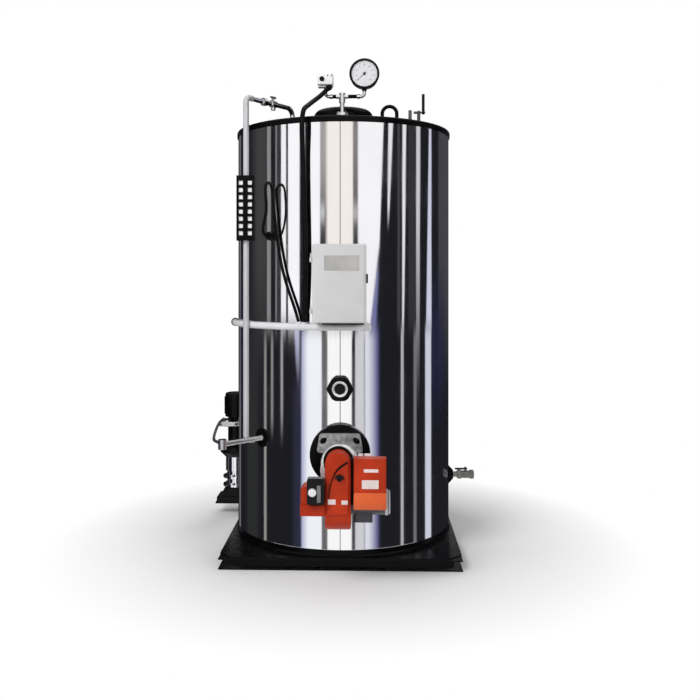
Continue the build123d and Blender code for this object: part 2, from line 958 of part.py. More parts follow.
# Hinges: a barrel with a pin on the box, and a knuckle on the door above it
hinge_x = -box_width / 2 - hinge_offset
hinge_y = -box_front - hinge_forward
hinge_heights = (box_bottom + hinge_inset, box_bottom + box_height - hinge_inset)
strap_outer = hinge_x - hinge_strap / 2
strap_inner = hinge_x + hinge_strap / 2
with BuildPart() as control_box_hinges:
    for hinge_z in hinge_heights:
        with BuildSketch(Plane.XY.offset(hinge_z - hinge_barrel_length)):
            with Locations((hinge_x, hinge_y)):
                Circle(hinge_barrel_radius)
            with Locations((strap_outer, hinge_y)):
                Rectangle(
                    hinge_strap,
                    hinge_forward + hinge_reach + hinge_pad_length,
                    align=(Align.MIN, Align.MIN),
                )
            with Locations((strap_outer, -box_front + hinge_reach)):
                Rectangle(
                    -box_width / 2 - strap_outer, hinge_pad_length, align=(Align.MIN, Align.MIN)
                )
        extrude(amount=hinge_barrel_length)
        with BuildSketch(Plane.XY.offset(hinge_z)):
            with Locations((hinge_x, hinge_y)):
                Circle(hinge_pin_radius)
        extrude(amount=hinge_barrel_length)
keep(control_box_hinges, "control_box_hinges")

# Door: a shallow pressed pan with two knuckles on its left edge
door_back = box_front + door_gap
door_front = door_back + door_thickness
with BuildPart() as control_box_door:
    with BuildSketch(Plane.XZ.offset(door_back)):
        with Locations((0, box_middle)):
            RectangleRounded(box_width, box_height, box_corner)
    extrude(amount=door_thickness)
    fillet(control_box_door.faces().sort_by(Axis.Y)[0].edges(), radius=door_edge_round)
    with BuildSketch(Plane.XZ.offset(door_back)):
        with Locations((0, box_middle)):
            RectangleRounded(
                box_width - 2 * box_wall, box_height - 2 * box_wall, box_corner - box_wall
            )
    extrude(amount=door_thickness - box_wall, mode=Mode.SUBTRACT)
    for hinge_z in hinge_heights:
        with BuildSketch(Plane.XY.offset(hinge_z + hinge_barrel_gap)):
            with Locations((hinge_x, hinge_y)):
                Circle(hinge_barrel_radius)
            with Locations((strap_outer, hinge_y)):
                Rectangle(
                    hinge_strap, door_front + hinge_y - door_edge_round, align=(Align.MIN, Align.MAX)
                )
            with Locations((strap_outer, -door_back)):
                Rectangle(
                    -box_width / 2 - strap_outer,
                    door_thickness - door_edge_round,
                    align=(Align.MIN, Align.MAX),
                )
        extrude(amount=hinge_barrel_length)
        with BuildSketch(Plane.XY.offset(hinge_z)):
            with Locations((hinge_x, hinge_y)):
                Circle(hinge_pin_radius + running_clearance)
        extrude(amount=hinge_barrel_length + overrun, mode=Mode.SUBTRACT)
keep(control_box_door, "control_box_door")

# Latch on the door's right edge
with BuildPart() as door_latch:
    with BuildSketch(Plane.YZ.offset(box_width / 2)):
        with Locations((-door_back - door_thickness / 2, box_middle + latch_lift)):
            RectangleRounded(latch_depth, latch_height, latch_round)
    extrude(amount=latch_width)
keep(door_latch, "door_latch")

# Sight port: a hexagon on a round neck, with a glass sunk in it
sight_hex_back = jacket_radius + sight_neck_length
sight_front = sight_hex_back + sight_hex_depth
with BuildPart() as sight_port_body:
    with BuildSketch(Plane.XZ.offset(jacket_radius - overrun)):
        with Locations((0, sight_z)):
            Circle(sight_neck_radius)
    extrude(amount=overrun + sight_neck_length)
    with BuildSketch(Plane.XZ.offset(sight_hex_back)):
        with Locations((0, sight_z)):
            RegularPolygon(sight_hex_radius, 6)
    extrude(amount=sight_hex_depth)
    with BuildSketch(Plane.XZ.offset(sight_front)):
        with Locations((0, sight_z)):
            Circle(sight_recess_radius)
    extrude(amount=-sight_recess_depth, mode=Mode.SUBTRACT)
    cut_to_jacket()
keep(sight_port_body, "sight_port_body")

with BuildPart() as sight_port_glass:
    with BuildSketch(Plane.XZ.offset(sight_front - sight_recess_depth)):
        with Locations((0, sight_z)):
            Circle(sight_recess_radius - seat_gap)
    extrude(amount=sight_glass_thickness)
keep(sight_port_glass, "sight_port_glass")

# Burner mount: a round plate cut to the jacket, then the flange with an eared top for its studs
collar_z = burner_z - collar_drop
mount_front = jacket_radius + mount_plate_reach
flange_front = mount_front + flange_thickness
mount_root = math.sqrt(jacket_radius**2 - mount_plate_radius**2)
with BuildPart() as burner_mount_plate:
    with BuildSketch(Plane.XZ.offset(mount_root)):
        with Locations((0, burner_z)):
            Circle(mount_plate_radius)
    extrude(amount=mount_front - mount_root)
    cut_to_jacket()
keep(burner_mount_plate, "burner_mount_plate")

with BuildPart() as burner_flange:
    with BuildSketch(Plane.XZ.offset(mount_front)) as flange_outline:
        with BuildLine():
            Polyline(
                (-flange_low_width / 2, burner_z + flange_low_rise),
                (flange_low_width / 2, burner_z + flange_low_rise),
                (flange_top_width / 2, burner_z + flange_top_rise),
                (-flange_top_width / 2, burner_z + flange_top_rise),
                close=True,
            )
        make_face()
        fillet(flange_outline.vertices(), radius=flange_corner)
        with Locations((0, collar_z)):
            Circle(collar_radius)
        for side in (-1, 1):
            with Locations((side * flange_slot_x, burner_z + flange_slot_rise)):
                SlotOverall(
                    flange_slot_length,
                    flange_slot_width,
                    rotation=-flange_slot_tilt * side,
                    mode=Mode.SUBTRACT,
                )
    extrude(amount=flange_thickness)
keep(burner_flange, "burner_flange")

# Polished collar between the flange and the burner's casing
collar_front = flange_front + collar_length
with BuildPart() as burner_collar:
    with BuildSketch(Plane.XZ.offset(flange_front)):
        with Locations((0, collar_z)):
            Circle(collar_radius)
    extrude(amount=collar_length)
keep(burner_collar, "burner_collar")

# Black plate between the collar and the casing, arched like the casing
arch_radius = casing_width / 2
arch_centre_z = burner_z + casing_arch_rise - arch_radius
casing_back = collar_front + rear_plate_thickness
with BuildPart() as burner_rear_plate:
    with BuildSketch(Plane.XZ.offset(collar_front)):
        with Locations((0, arch_centre_z)):
            Circle(rear_plate_radius)
    extrude(amount=rear_plate_thickness)
keep(burner_rear_plate, "burner_rear_plate")

# Scroll casing: an arched duct down into the fan's drum, a raised scroll face and a peephole
casing_front = collar_front + casing_depth
casing_bottom = burner_z - casing_bottom_drop
scroll_z = casing_bottom + scroll_radius
scroll_y = scroll_radius - casing_front
casing_side = casing_width / 2
face_side = casing_side - casing_round
face_low = burner_z - scroll_low_drop
face_end = burner_z - scroll_end_drop
peephole_place = (peephole_x, burner_z - peephole_drop)
with BuildPart() as scroll_drum:
    with BuildSketch(Plane.YZ.offset(-casing_side)):
        with Locations((scroll_y, scroll_z)):
            Circle(scroll_radius)
    extrude(amount=casing_width)
    with BuildSketch(Plane.XZ.offset(casing_front - 2 * scroll_radius)):
        with Locations((0, casing_bottom)):
            RectangleRounded(
                casing_width,
                2 * scroll_radius + 2 * drum_corner,
                drum_corner,
                align=(Align.CENTER, Align.MIN),
            )
    extrude(amount=2 * scroll_radius, mode=Mode.INTERSECT)

with BuildPart() as burner_casing:
    with BuildSketch(Plane.XZ.offset(casing_back)):
        with Locations((0, arch_centre_z)):
            Circle(arch_radius)
            Rectangle(casing_width, arch_centre_z - scroll_z, align=(Align.CENTER, Align.MAX))
    extrude(amount=casing_front - casing_back)
    fillet(burner_casing.faces().sort_by(Axis.Y)[0].edges(), radius=casing_round)
    add(scroll_drum.part)
    with BuildSketch(Plane.XZ.offset(casing_front)):
        with BuildLine():
            ThreePointArc(
                (face_side, burner_z + scroll_top_rise),
                (scroll_turn_x, burner_z - scroll_turn_drop),
                (scroll_low_x, face_low),
            )
            Polyline(
                (scroll_low_x, face_low),
                (-face_side, face_end),
                (-face_side, scroll_z),
                (face_side, scroll_z),
                (face_side, burner_z + scroll_top_rise),
            )
        make_face()
    extrude(amount=scroll_face_lift)
    fillet(burner_casing.faces().sort_by(Axis.Y)[0].edges(), radius=scroll_face_round)
    with BuildSketch(Plane.XZ.offset(casing_front + scroll_face_lift)):
        with Locations(peephole_place):
            Circle(peephole_radius)
    extrude(amount=peephole_height)
    with BuildSketch(Plane.XZ.offset(casing_front + scroll_face_lift + peephole_height)):
        with Locations(peephole_place):
            Circle(peephole_bore)
    extrude(amount=-peephole_bore_depth, mode=Mode.SUBTRACT)
keep(burner_casing, "burner_casing")

# Air intake on the left of the drum, with a ledge along its foot and the damper's servo above
intake_top = burner_z - intake_top_drop
intake_front = casing_front
intake_middle_x = -casing_side - intake_width / 2
with BuildPart() as burner_air_intake:
    with BuildSketch(Plane.XZ.offset(intake_front - intake_depth)):
        with Locations((intake_middle_x, intake_top - intake_height / 2)):
            Rectangle(intake_width, intake_height)
    extrude(amount=intake_depth)
    fillet(burner_air_intake.faces().sort_by(Axis.X)[0].edges(), radius=intake_round)
    with BuildSketch(Plane.XZ.offset(intake_front - intake_round)):
        with Locations((intake_middle_x, intake_top - intake_height)):
            Rectangle(intake_width, intake_ledge_height, align=(Align.CENTER, Align.MIN))
    extrude(amount=intake_round + intake_ledge_depth)
    fillet(burner_air_intake.faces().sort_by(Axis.Y)[0].edges(), radius=intake_ledge_round)
keep(burner_air_intake, "burner_air_intake")

servo_x = -casing_side - servo_width / 2
servo_z = intake_top + servo_rise - servo_height / 2
with BuildPart() as burner_servo:
    with BuildSketch(Plane.XZ.offset(intake_front)):
        with Locations((servo_x, servo_z)):
            RectangleRounded(servo_width, servo_height, servo_round)
    extrude(amount=servo_depth)
    with BuildSketch(Plane.XZ.offset(intake_front + servo_depth)):
        with Locations((servo_x + servo_cap_x, servo_z + servo_cap_z)):
            Circle(servo_cap_radius)
    extrude(amount=servo_cap_depth)
keep(burner_servo, "burner_servo")

# Fan motor on the right of the drum, with a terminal box below and a plinth for the control cover
motor_y = scroll_y + motor_setback
motor_z = burner_z - motor_drop
motor_end = casing_side + motor_length
plinth_front = -motor_y + plinth_reach
cover_left = casing_side + box_cover_gap
with BuildPart() as burner_motor:
    with BuildSketch(Plane.YZ.offset(casing_side)):
        with Locations((motor_y, motor_z)):
            Circle(motor_radius)
    extrude(amount=motor_length)
    with BuildSketch(Plane.YZ.offset(motor_end)):
        with Locations((motor_y, motor_z)):
            Circle(motor_cap_radius)
    extrude(amount=motor_cap_length)
    fillet(burner_motor.faces().sort_by(Axis.X)[-1].edges(), radius=motor_cap_round)
    with BuildSketch(Plane.XZ.offset(-motor_y)):
        with Locations((casing_side + motor_length / 2, motor_z)):
            Rectangle(plinth_width, plinth_height)
    extrude(amount=plinth_reach)
    with BuildSketch(Plane.XY.offset(motor_z - terminal_drop)):
        with Locations((cover_left + terminal_width / 2, motor_y)):
            RectangleRounded(terminal_width, terminal_depth, terminal_round)
    extrude(amount=terminal_drop)
keep(burner_motor, "burner_motor")

# Control cover in front of the motor, sloped at its lower edge
cover_top = burner_z + cover_top_rise
cover_bottom = cover_top - cover_height
cover_front = plinth_front + cover_depth
with BuildPart() as burner_control_cover:
    with BuildSketch(Plane.YZ.offset(cover_left)):
        with BuildLine():
            Polyline(
                (-plinth_front, cover_bottom),
                (-plinth_front, cover_top),
                (-cover_front, cover_top),
                (-cover_front, cover_bottom + cover_slope),
                (cover_slope - cover_front, cover_bottom),
                close=True,
            )
        make_face()
    extrude(amount=cover_width)
    fillet(burner_control_cover.edges().filter_by(Axis.Z), radius=cover_round)
keep(burner_control_cover, "burner_control_cover")

# Feed boss and feed pipe, which ends in an elbow away from the jacket
feed_plane = radial_plane(feed_angle, feed_z)
feed_boss_face = jacket_radius + feed_boss_length
with BuildPart() as feed_boss:
    with BuildSketch(feed_plane.offset(jacket_radius - overrun)):
        Circle(feed_boss_radius)
    extrude(amount=overrun + feed_boss_length)
    cut_to_jacket()
keep(feed_boss, "feed_boss")

feed_elbow = radial_point(feed_angle, jacket_radius + feed_pipe_reach, feed_z)
hose_start = (feed_elbow[0] + hose_start_forward, feed_elbow[1] + hose_start_side, feed_z)
foot_bottom = plate_top + shelf_thickness
foot_top = foot_bottom + foot_thickness
flare_top = foot_top + foot_flare_height
lower_top = flare_top + pump_lower_height
column_top = lower_top + pump_column_height
head_top = column_top + pump_head_height
hose_end = (pump_x + hose_end_side, pump_y + hose_end_forward, head_top + hose_end_rise)
hose_middle = [
    part_way(hose_start, hose_end, along, side, down) for along, side, down in feed_hose_shares
]
feed_hose_route = [hose_start, *hose_middle, hose_end]
with BuildPart() as feed_pipe:
    with BuildSketch(feed_plane.offset(feed_boss_face)):
        Circle(feed_pipe_radius)
    extrude(amount=feed_pipe_reach - feed_boss_length)
    with BuildSketch(Plane.XY.offset(feed_z - feed_elbow_height / 2)):
        with Locations(feed_elbow[:2]):
            Circle(feed_elbow_radius)
    extrude(amount=feed_elbow_height)
    with BuildSketch(cord_start_plane(feed_hose_route)):
        Circle(hose_nozzle_radius)
    extrude(amount=feed_elbow_height / 2)
keep(feed_pipe, "feed_pipe")

# Pump: foot, lower body between flanges, bright column, head, stool and motor
with BuildPart() as pump_foot:
    with BuildSketch(Plane.XY.offset(foot_bottom)):
        with Locations((pump_x, pump_y)):
            Rectangle(foot_width, foot_depth)
    extrude(amount=foot_thickness)
    with BuildSketch(Plane.XY.offset(foot_top)):
        with Locations((pump_x, pump_y)):
            Rectangle(foot_width - foot_thickness, foot_depth - foot_thickness)
    with BuildSketch(Plane.XY.offset(flare_top)):
        with Locations((pump_x, pump_y)):
            Circle(foot_top_radius)
    loft()
keep(pump_foot, "pump_foot")

with BuildPart() as pump_column:
    with BuildSketch(Plane.XY.offset(flare_top)):
        with Locations((pump_x, pump_y)):
            Circle(pump_lower_radius)
    extrude(amount=pump_lower_height)
    for flange_level in (flare_top, flare_top + pump_flange_gap + pump_flange_thickness):
        with BuildSketch(Plane.XY.offset(flange_level)):
            with Locations((pump_x, pump_y)):
                Circle(pump_flange_radius)
        extrude(amount=pump_flange_thickness)
    with BuildSketch(Plane.XY.offset(lower_top)):
        with Locations((pump_x, pump_y)):
            Circle(pump_column_radius)
    extrude(amount=pump_column_height)
keep(pump_column, "pump_column")

with BuildPart() as pump_head:
    with BuildSketch(Plane.XY.offset(column_top)):
        with Locations((pump_x, pump_y)):
            Circle(pump_head_radius)
    extrude(amount=pump_head_height)
    chamfer(pump_head.faces().sort_by(Axis.Z)[0].edges(), length=pump_head_taper)
keep(pump_head, "pump_head")

stool_top = head_top + stool_height
with BuildPart() as pump_motor:
    with BuildSketch(Plane.XY.offset(head_top)):
        with Locations((pump_x, pump_y)):
            Circle(stool_radius)
    extrude(amount=stool_height)
    with BuildSketch(Plane.XY.offset(stool_top)):
        with Locations((pump_x, pump_y)):
            Circle(motor_body_radius)
    extrude(amount=motor_body_height)
    fillet(pump_motor.faces().sort_by(Axis.Z)[-1].edges(), radius=motor_dome_round)
    with BuildSketch(cord_end_plane(feed_hose_route)):
        Circle(hose_nozzle_radius)
    extrude(amount=stool_radius)
keep(pump_motor, "pump_motor")

# Pump inlet: a tube from the front of the stool that runs to the left and turns to the rear
inlet_z = head_top + inlet_rise
inlet_root = (pump_x + inlet_side, pump_y, inlet_z)
inlet_front = (pump_x + inlet_side, pump_y - inlet_forward, inlet_z)
inlet_turn = (pump_x - inlet_reach, pump_y - inlet_forward, inlet_z)
inlet_mouth = (pump_x - inlet_reach, pump_y + inlet_tail, inlet_z)
with BuildPart() as pump_inlet:
    with BuildLine():
        FilletPolyline(inlet_root, inlet_front, inlet_turn, inlet_mouth, radius=inlet_bend)
    with BuildSketch(Plane(origin=inlet_root, z_dir=(0, -1, 0))):
        Circle(inlet_radius)
    sweep()
    with BuildSketch(Plane.XY.offset(head_top)):
        with Locations((pump_x, pump_y)):
            Circle(stool_radius + seat_gap)
    extrude(amount=stool_height, mode=Mode.SUBTRACT)
    with BuildSketch(Plane(origin=inlet_mouth, z_dir=(0, -1, 0))):
        Circle(inlet_bore)
    extrude(amount=inlet_bore_length, mode=Mode.SUBTRACT)
keep(pump_inlet, "pump_inlet")

feed_hose, feed_hose_radii = cord_tube(feed_hose_route, feed_hose_radius)
keep(feed_hose, "feed_hose")

# Drain: a cone on the jacket's right side, a collar and a ball valve with a lever
boss_tip_x = jacket_radius + drain_boss_length
collar_end_x = boss_tip_x + drain_collar_length
with BuildPart() as drain_boss:
    with BuildSketch(Plane.YZ.offset(jacket_radius)):
        with Locations((0, drain_z)):
            Circle(drain_boss_radius)
    with BuildSketch(Plane.YZ.offset(boss_tip_x)):
        with Locations((0, drain_z)):
            Circle(drain_boss_tip_radius)
    loft()
    with BuildSketch(Plane.YZ.offset(jacket_radius - overrun)):
        with Locations((0, drain_z)):
            Circle(drain_boss_radius)
    extrude(amount=overrun)
    cut_to_jacket()
keep(drain_boss, "drain_boss")

valve_end_x = collar_end_x + drain_body_length
stem_x = collar_end_x + drain_stem_along
lever_z = drain_z + drain_body_radius + drain_lever_lift
with BuildPart() as drain_valve:
    with BuildSketch(Plane.YZ.offset(boss_tip_x)):
        with Locations((0, drain_z)):
            Circle(drain_collar_radius)
    extrude(amount=drain_collar_length)
    with BuildSketch(Plane.YZ.offset(collar_end_x)):
        with Locations((0, drain_z)):
            Circle(drain_body_radius)
    extrude(amount=drain_body_length)
    with BuildSketch(Plane.XY.offset(drain_z)):
        with Locations((stem_x, 0)):
            Circle(drain_stem_radius)
    extrude(amount=drain_body_radius + drain_stem_height)
    with BuildSketch(Plane.YZ.offset(valve_end_x)):
        with Locations((0, drain_z)):
            Circle(drain_bore)
    extrude(amount=-drain_bore_length, mode=Mode.SUBTRACT)
keep(drain_valve, "drain_valve")

with BuildPart() as drain_valve_lever:
    with BuildSketch(Plane.XY.offset(lever_z)):
        with Locations((stem_x, 0)):
            Circle(drain_lever_hub_radius)
            Rectangle(
                drain_lever_length, drain_lever_width, align=(Align.MAX, Align.CENTER)
            )
            Circle(drain_stem_radius + running_clearance, mode=Mode.SUBTRACT)
    extrude(amount=drain_lever_thickness)
keep(drain_valve_lever, "drain_valve_lever")

# Vent valve: a ball on a nipple with an outlet to the left, a spindle to the right and a lever
vent_x, vent_y, vent_z = radial_point(
    vent_angle, roof_radius - vent_inset, roof_top + vent_nipple_height + vent_ball_radius
)
with BuildPart() as vent_valve_body:
    with BuildSketch(Plane.XY.offset(roof_top)):
        with Locations((vent_x, vent_y)):
            Circle(vent_nipple_radius)
    extrude(amount=vent_nipple_height + vent_ball_radius)
    with Locations((vent_x, vent_y, vent_z)):
        Sphere(vent_ball_radius)
    with BuildSketch(Plane.YZ.offset(vent_x - vent_outlet_length)):
        with Locations((vent_y, vent_z)):
            Circle(vent_outlet_radius)
    extrude(amount=vent_outlet_length)
    with BuildSketch(Plane.YZ.offset(vent_x)):
        with Locations((vent_y, vent_z)):
            Circle(vent_spindle_radius)
    extrude(amount=vent_ball_radius + vent_lever_gap + vent_lever_thickness + vent_spindle_tail)
keep(vent_valve_body, "vent_valve_body")

lever_inner_x = vent_x + vent_ball_radius + vent_lever_gap
with BuildPart() as vent_valve_lever:
    with BuildSketch(Plane.YZ.offset(lever_inner_x)):
        with Locations((vent_y, vent_z)):
            Circle(vent_lever_hub_radius)
            Rectangle(vent_lever_width, vent_lever_length, align=(Align.CENTER, Align.MIN))
            Circle(vent_spindle_radius + running_clearance, mode=Mode.SUBTRACT)
    extrude(amount=vent_lever_thickness)
keep(vent_valve_lever, "vent_valve_lever")

# Vent stub beside the valve
with BuildPart() as vent_stub:
    with BuildSketch(Plane.XY.offset(roof_top)):
        with Locations((vent_x - stub_spacing, vent_y)):
            Circle(stub_radius)
    extrude(amount=stub_height)
    fillet(vent_stub.faces().sort_by(Axis.Z)[-1].edges(), radius=stub_round)
keep(vent_stub, "vent_stub")

for cord, radii in (
    ("switch_cable", switch_cable_radii),
    ("probe_cable", probe_cable_radii),
    ("feed_hose", feed_hose_radii),
):
    print(cord, "bend radii", [round(radius) for radius in radii])
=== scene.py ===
import math

import bmesh
import bpy
from mathutils import Matrix, Vector


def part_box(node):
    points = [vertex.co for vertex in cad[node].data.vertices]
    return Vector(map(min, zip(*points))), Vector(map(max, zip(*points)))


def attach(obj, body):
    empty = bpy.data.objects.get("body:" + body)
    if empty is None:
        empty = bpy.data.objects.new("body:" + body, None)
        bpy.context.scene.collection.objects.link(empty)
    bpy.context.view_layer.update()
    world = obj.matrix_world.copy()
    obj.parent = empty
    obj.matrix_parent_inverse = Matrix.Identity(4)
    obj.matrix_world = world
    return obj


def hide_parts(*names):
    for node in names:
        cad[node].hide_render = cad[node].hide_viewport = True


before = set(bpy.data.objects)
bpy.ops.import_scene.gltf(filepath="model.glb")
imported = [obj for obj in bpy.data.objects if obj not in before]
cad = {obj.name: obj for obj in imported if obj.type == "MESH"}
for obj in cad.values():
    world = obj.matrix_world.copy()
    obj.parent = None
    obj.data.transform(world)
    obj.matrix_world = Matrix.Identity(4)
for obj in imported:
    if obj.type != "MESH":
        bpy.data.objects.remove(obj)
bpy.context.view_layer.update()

# Base: a square frame of rolled channels under a plate with cut corners, and a ring for the jacket.
# It is welded from mild steel and sprayed in glossy black enamel, a little uneven like any spray coat.
# The ring's weld is laid all the way round in short runs, which leave fine ripples.
number, tint = "NodeSocketFloat", "NodeSocketColor"


def start_group(name, inputs, output, output_type):
    """A new shader group with number or colour inputs and one output."""
    tree = bpy.data.node_groups.new(name, "ShaderNodeTree")
    for label, kind in inputs:
        tree.interface.new_socket(label, in_out="INPUT", socket_type=kind)
    tree.interface.new_socket(output, in_out="OUTPUT", socket_type=output_type)
    return tree, tree.nodes.new("NodeGroupInput"), tree.nodes.new("NodeGroupOutput")


def cloud_noise(tree, entry, place, detail):
    """Cloudy noise at a place, at the group's own scale."""
    cloud = tree.nodes.new("ShaderNodeTexNoise")
    cloud.inputs["Detail"].default_value = detail
    tree.links.new(place, cloud.inputs["Vector"])
    tree.links.new(entry.outputs["Scale"], cloud.inputs["Scale"])
    return cloud.outputs["Fac"]


def drift(tree, entry, detail, contrast):
    """Cloudy noise over the surface, with a part of its range stretched to the whole."""
    place = tree.nodes.new("ShaderNodeTexCoord").outputs["Object"]
    spread = tree.nodes.new("ShaderNodeMapRange")
    spread.inputs["From Min"].default_value = contrast[0]
    spread.inputs["From Max"].default_value = contrast[1]
    tree.links.new(cloud_noise(tree, entry, place, detail), spread.inputs["Value"])
    return spread


# Colour that drifts between two shades
two_tone, entry, leave = start_group(
    "two_tone", [("Scale", number), ("Shade A", tint), ("Shade B", tint)], "Colour", tint
)
spread = drift(two_tone, entry, 5, (0.32, 0.68))
blend_shades = two_tone.nodes.new("ShaderNodeMix")
blend_shades.data_type = "RGBA"
two_tone.links.new(spread.outputs["Result"], blend_shades.inputs["Factor"])
two_tone.links.new(entry.outputs["Shade A"], blend_shades.inputs["A"])
two_tone.links.new(entry.outputs["Shade B"], blend_shades.inputs["B"])
two_tone.links.new(blend_shades.outputs["Result"], leave.inputs["Colour"])

# Gloss that drifts between a low and a high roughness
uneven_gloss, entry, leave = start_group(
    "uneven_gloss", [("Scale", number), ("Low", number), ("High", number)], "Roughness", number
)
spread = drift(uneven_gloss, entry, 6, (0.3, 0.7))
uneven_gloss.links.new(entry.outputs["Low"], spread.inputs["To Min"])
uneven_gloss.links.new(entry.outputs["High"], spread.inputs["To Max"])
uneven_gloss.links.new(spread.outputs["Result"], leave.inputs["Roughness"])

# Fine relief: orange peel on paint, casting skin, moulded grain or drawn lines by stretch
fine_relief, entry, leave = start_group(
    "fine_relief",
    [(label, number) for label in ("Scale", "Stretch X", "Stretch Y", "Stretch Z")],
    "Height",
    number,
)
place = fine_relief.nodes.new("ShaderNodeTexCoord")
stretch = fine_relief.nodes.new("ShaderNodeCombineXYZ")
for axis in "XYZ":
    fine_relief.links.new(entry.outputs["Stretch " + axis], stretch.inputs[axis])
pulled = fine_relief.nodes.new("ShaderNodeVectorMath")
pulled.operation = "MULTIPLY"
fine_relief.links.new(place.outputs["Object"], pulled.inputs[0])
fine_relief.links.new(stretch.outputs["Vector"], pulled.inputs[1])
relief_height = cloud_noise(fine_relief, entry, pulled.outputs["Vector"], 3)
fine_relief.links.new(relief_height, leave.inputs["Height"])


def finish(name, shades, gloss, relief, metal=0.0, shine=0.5, stretch=(1, 1, 1), patch=5.0):
    """A painted, plated, cast or moulded surface: two shades, a gloss range and a relief."""
    sheen_fineness = 2.5
    made = bpy.data.materials.new(name)
    made.use_nodes = True
    nodes, links = made.node_tree.nodes, made.node_tree.links
    skin = nodes["Principled BSDF"]
    tone = nodes.new("ShaderNodeGroup")
    tone.node_tree = two_tone
    tone.inputs["Scale"].default_value = patch
    tone.inputs["Shade A"].default_value = (*shades[0], 1)
    tone.inputs["Shade B"].default_value = (*shades[1], 1)
    links.new(tone.outputs["Colour"], skin.inputs["Base Color"])
    sheen = nodes.new("ShaderNodeGroup")
    sheen.node_tree = uneven_gloss
    sheen.inputs["Scale"].default_value = sheen_fineness * patch
    sheen.inputs["Low"].default_value = gloss[0]
    sheen.inputs["High"].default_value = gloss[1]
    links.new(sheen.outputs["Roughness"], skin.inputs["Roughness"])
    texture = nodes.new("ShaderNodeGroup")
    texture.node_tree = fine_relief
    texture.inputs["Scale"].default_value = relief[0]
    for axis, amount in zip("XYZ", stretch):
        texture.inputs["Stretch " + axis].default_value = amount
    bump = nodes.new("ShaderNodeBump")
    bump.inputs["Strength"].default_value = 1.0
    bump.inputs["Distance"].default_value = relief[1]
    links.new(texture.outputs["Height"], bump.inputs["Height"])
    links.new(bump.outputs["Normal"], skin.inputs["Normal"])
    skin.inputs["Metallic"].default_value = metal
    skin.inputs["Specular IOR Level"].default_value = shine
    return made


def dress(material, *names):
    """Give CAD nodes a finish."""
    for name in names:
        cad[name].material_slots[0].material = material


def settle(bm, name, material, body="boiler", crease=35):
    """Turn a finished bmesh into a piece that rides on a body."""
    bmesh.ops.remove_doubles(bm, verts=bm.verts, dist=0.000002)
    bmesh.ops.recalc_face_normals(bm, faces=bm.faces)
    mesh = bpy.data.meshes.new(name)
    bm.to_mesh(mesh)
    bm.free()
    mesh.polygons.foreach_set("use_smooth", [True] * len(mesh.polygons))
    mesh.set_sharp_from_angle(angle=math.radians(crease))
    mesh.materials.append(material)
    piece = bpy.data.objects.new(name, mesh)
    bpy.context.scene.collection.objects.link(piece)
    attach(piece, body)
    return piece


def turn(bm, profile, to, steps=96, ring=False):
    """Spin a profile of (radius, height) points into a turned shape and move it into place."""
    points = [bm.verts.new((radius, 0, height)) for radius, height in profile]
    pairs = list(zip(points, points[1:]))
    if ring:
        pairs.append((points[-1], points[0]))
    edges = [bm.edges.new(pair) for pair in pairs]
    before = set(bm.verts) - set(points)
    bmesh.ops.spin(
        bm, geom=points + edges, cent=(0, 0, 0), axis=(0, 0, 1), angle=math.tau, steps=steps, use_merge=True
    )
    bmesh.ops.transform(bm, matrix=to, verts=[v for v in bm.verts if v not in before])


black_enamel = finish(
    "black_enamel", ((0.0012, 0.0012, 0.0015), (0.0035, 0.0035, 0.004)), (0.2, 0.34), (260, 0.00012), shine=0.08
)
base_nodes = (
    "base_channel_front", "base_channel_right", "base_channel_rear", "base_channel_left",
    "base_cross_member", "base_plate", "pump_shelf", "base_ring",
)
dress(black_enamel, *base_nodes)
weld_profile = [(0.5275, 0.0578), (0.5275, 0.0655), (0.5305, 0.0625), (0.535, 0.0578)]
weld_ripples, ripple_height, weld_toe = 120, 0.0005, 0.059
bm = bmesh.new()
turn(bm, weld_profile, Matrix(), 240, ring=True)
for v in bm.verts:
    along = math.atan2(v.co.y, v.co.x) * weld_ripples
    v.co.z += ripple_height * math.sin(along) * (v.co.z > weld_toe)
settle(bm, "base_ring_weld", black_enamel, crease=60)

# Jacket: two half shells of mirror polished stainless sheet over the insulation.
# Each is rolled to a half round with its upper and lower edge eased.
# They butt in a fine seam at the front and at the rear, with a strip of steel behind it.
jacket_metal = finish(
    "polished_jacket", ((0.78, 0.78, 0.8), (0.83, 0.83, 0.85)), (0.045, 0.085), (2.2, 0.0005),
    metal=1.0, stretch=(1, 1, 0.35), patch=2.0,
)


def points_of(geometry):
    """The vertices among what a bmesh operator made."""
    return [made for made in geometry if isinstance(made, bmesh.types.BMVert)]


def sweep(bm, rim, angle, steps):
    """Sweep a closed rim part of the way round the upright axis, and close its two ends."""
    edges = [bm.edges.new(pair) for pair in zip(rim, rim[1:] + rim[:1])]
    swept = bmesh.ops.spin(
        bm, geom=rim + edges, cent=(0, 0, 0), axis=(0, 0, 1), angle=math.radians(angle), steps=steps
    )
    bmesh.ops.contextual_create(bm, geom=rim)
    bmesh.ops.contextual_create(bm, geom=points_of(swept["geom_last"]))


jacket_low, jacket_high = (corner.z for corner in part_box("jacket_right"))
jacket_inside, jacket_outside, eased, half_seam = 0.526, 0.53, 0.0012, 0.21
sheet_profile = [
    (jacket_inside, jacket_low), (jacket_outside - eased, jacket_low), (jacket_outside, jacket_low + eased),
    (jacket_outside, jacket_high - eased), (jacket_outside - eased, jacket_high), (jacket_inside, jacket_high),
]
for side, first_angle in (("right", -90), ("left", 90)):
    seam = math.radians(first_angle + half_seam)
    bm = bmesh.new()
    rim = [bm.verts.new((r * math.cos(seam), r * math.sin(seam), z)) for r, z in sheet_profile]
    sweep(bm, rim, 180 - 2 * half_seam, 180)
    shell = settle(bm, "jacket_shell_" + side, jacket_metal)
    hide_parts("jacket_" + side)


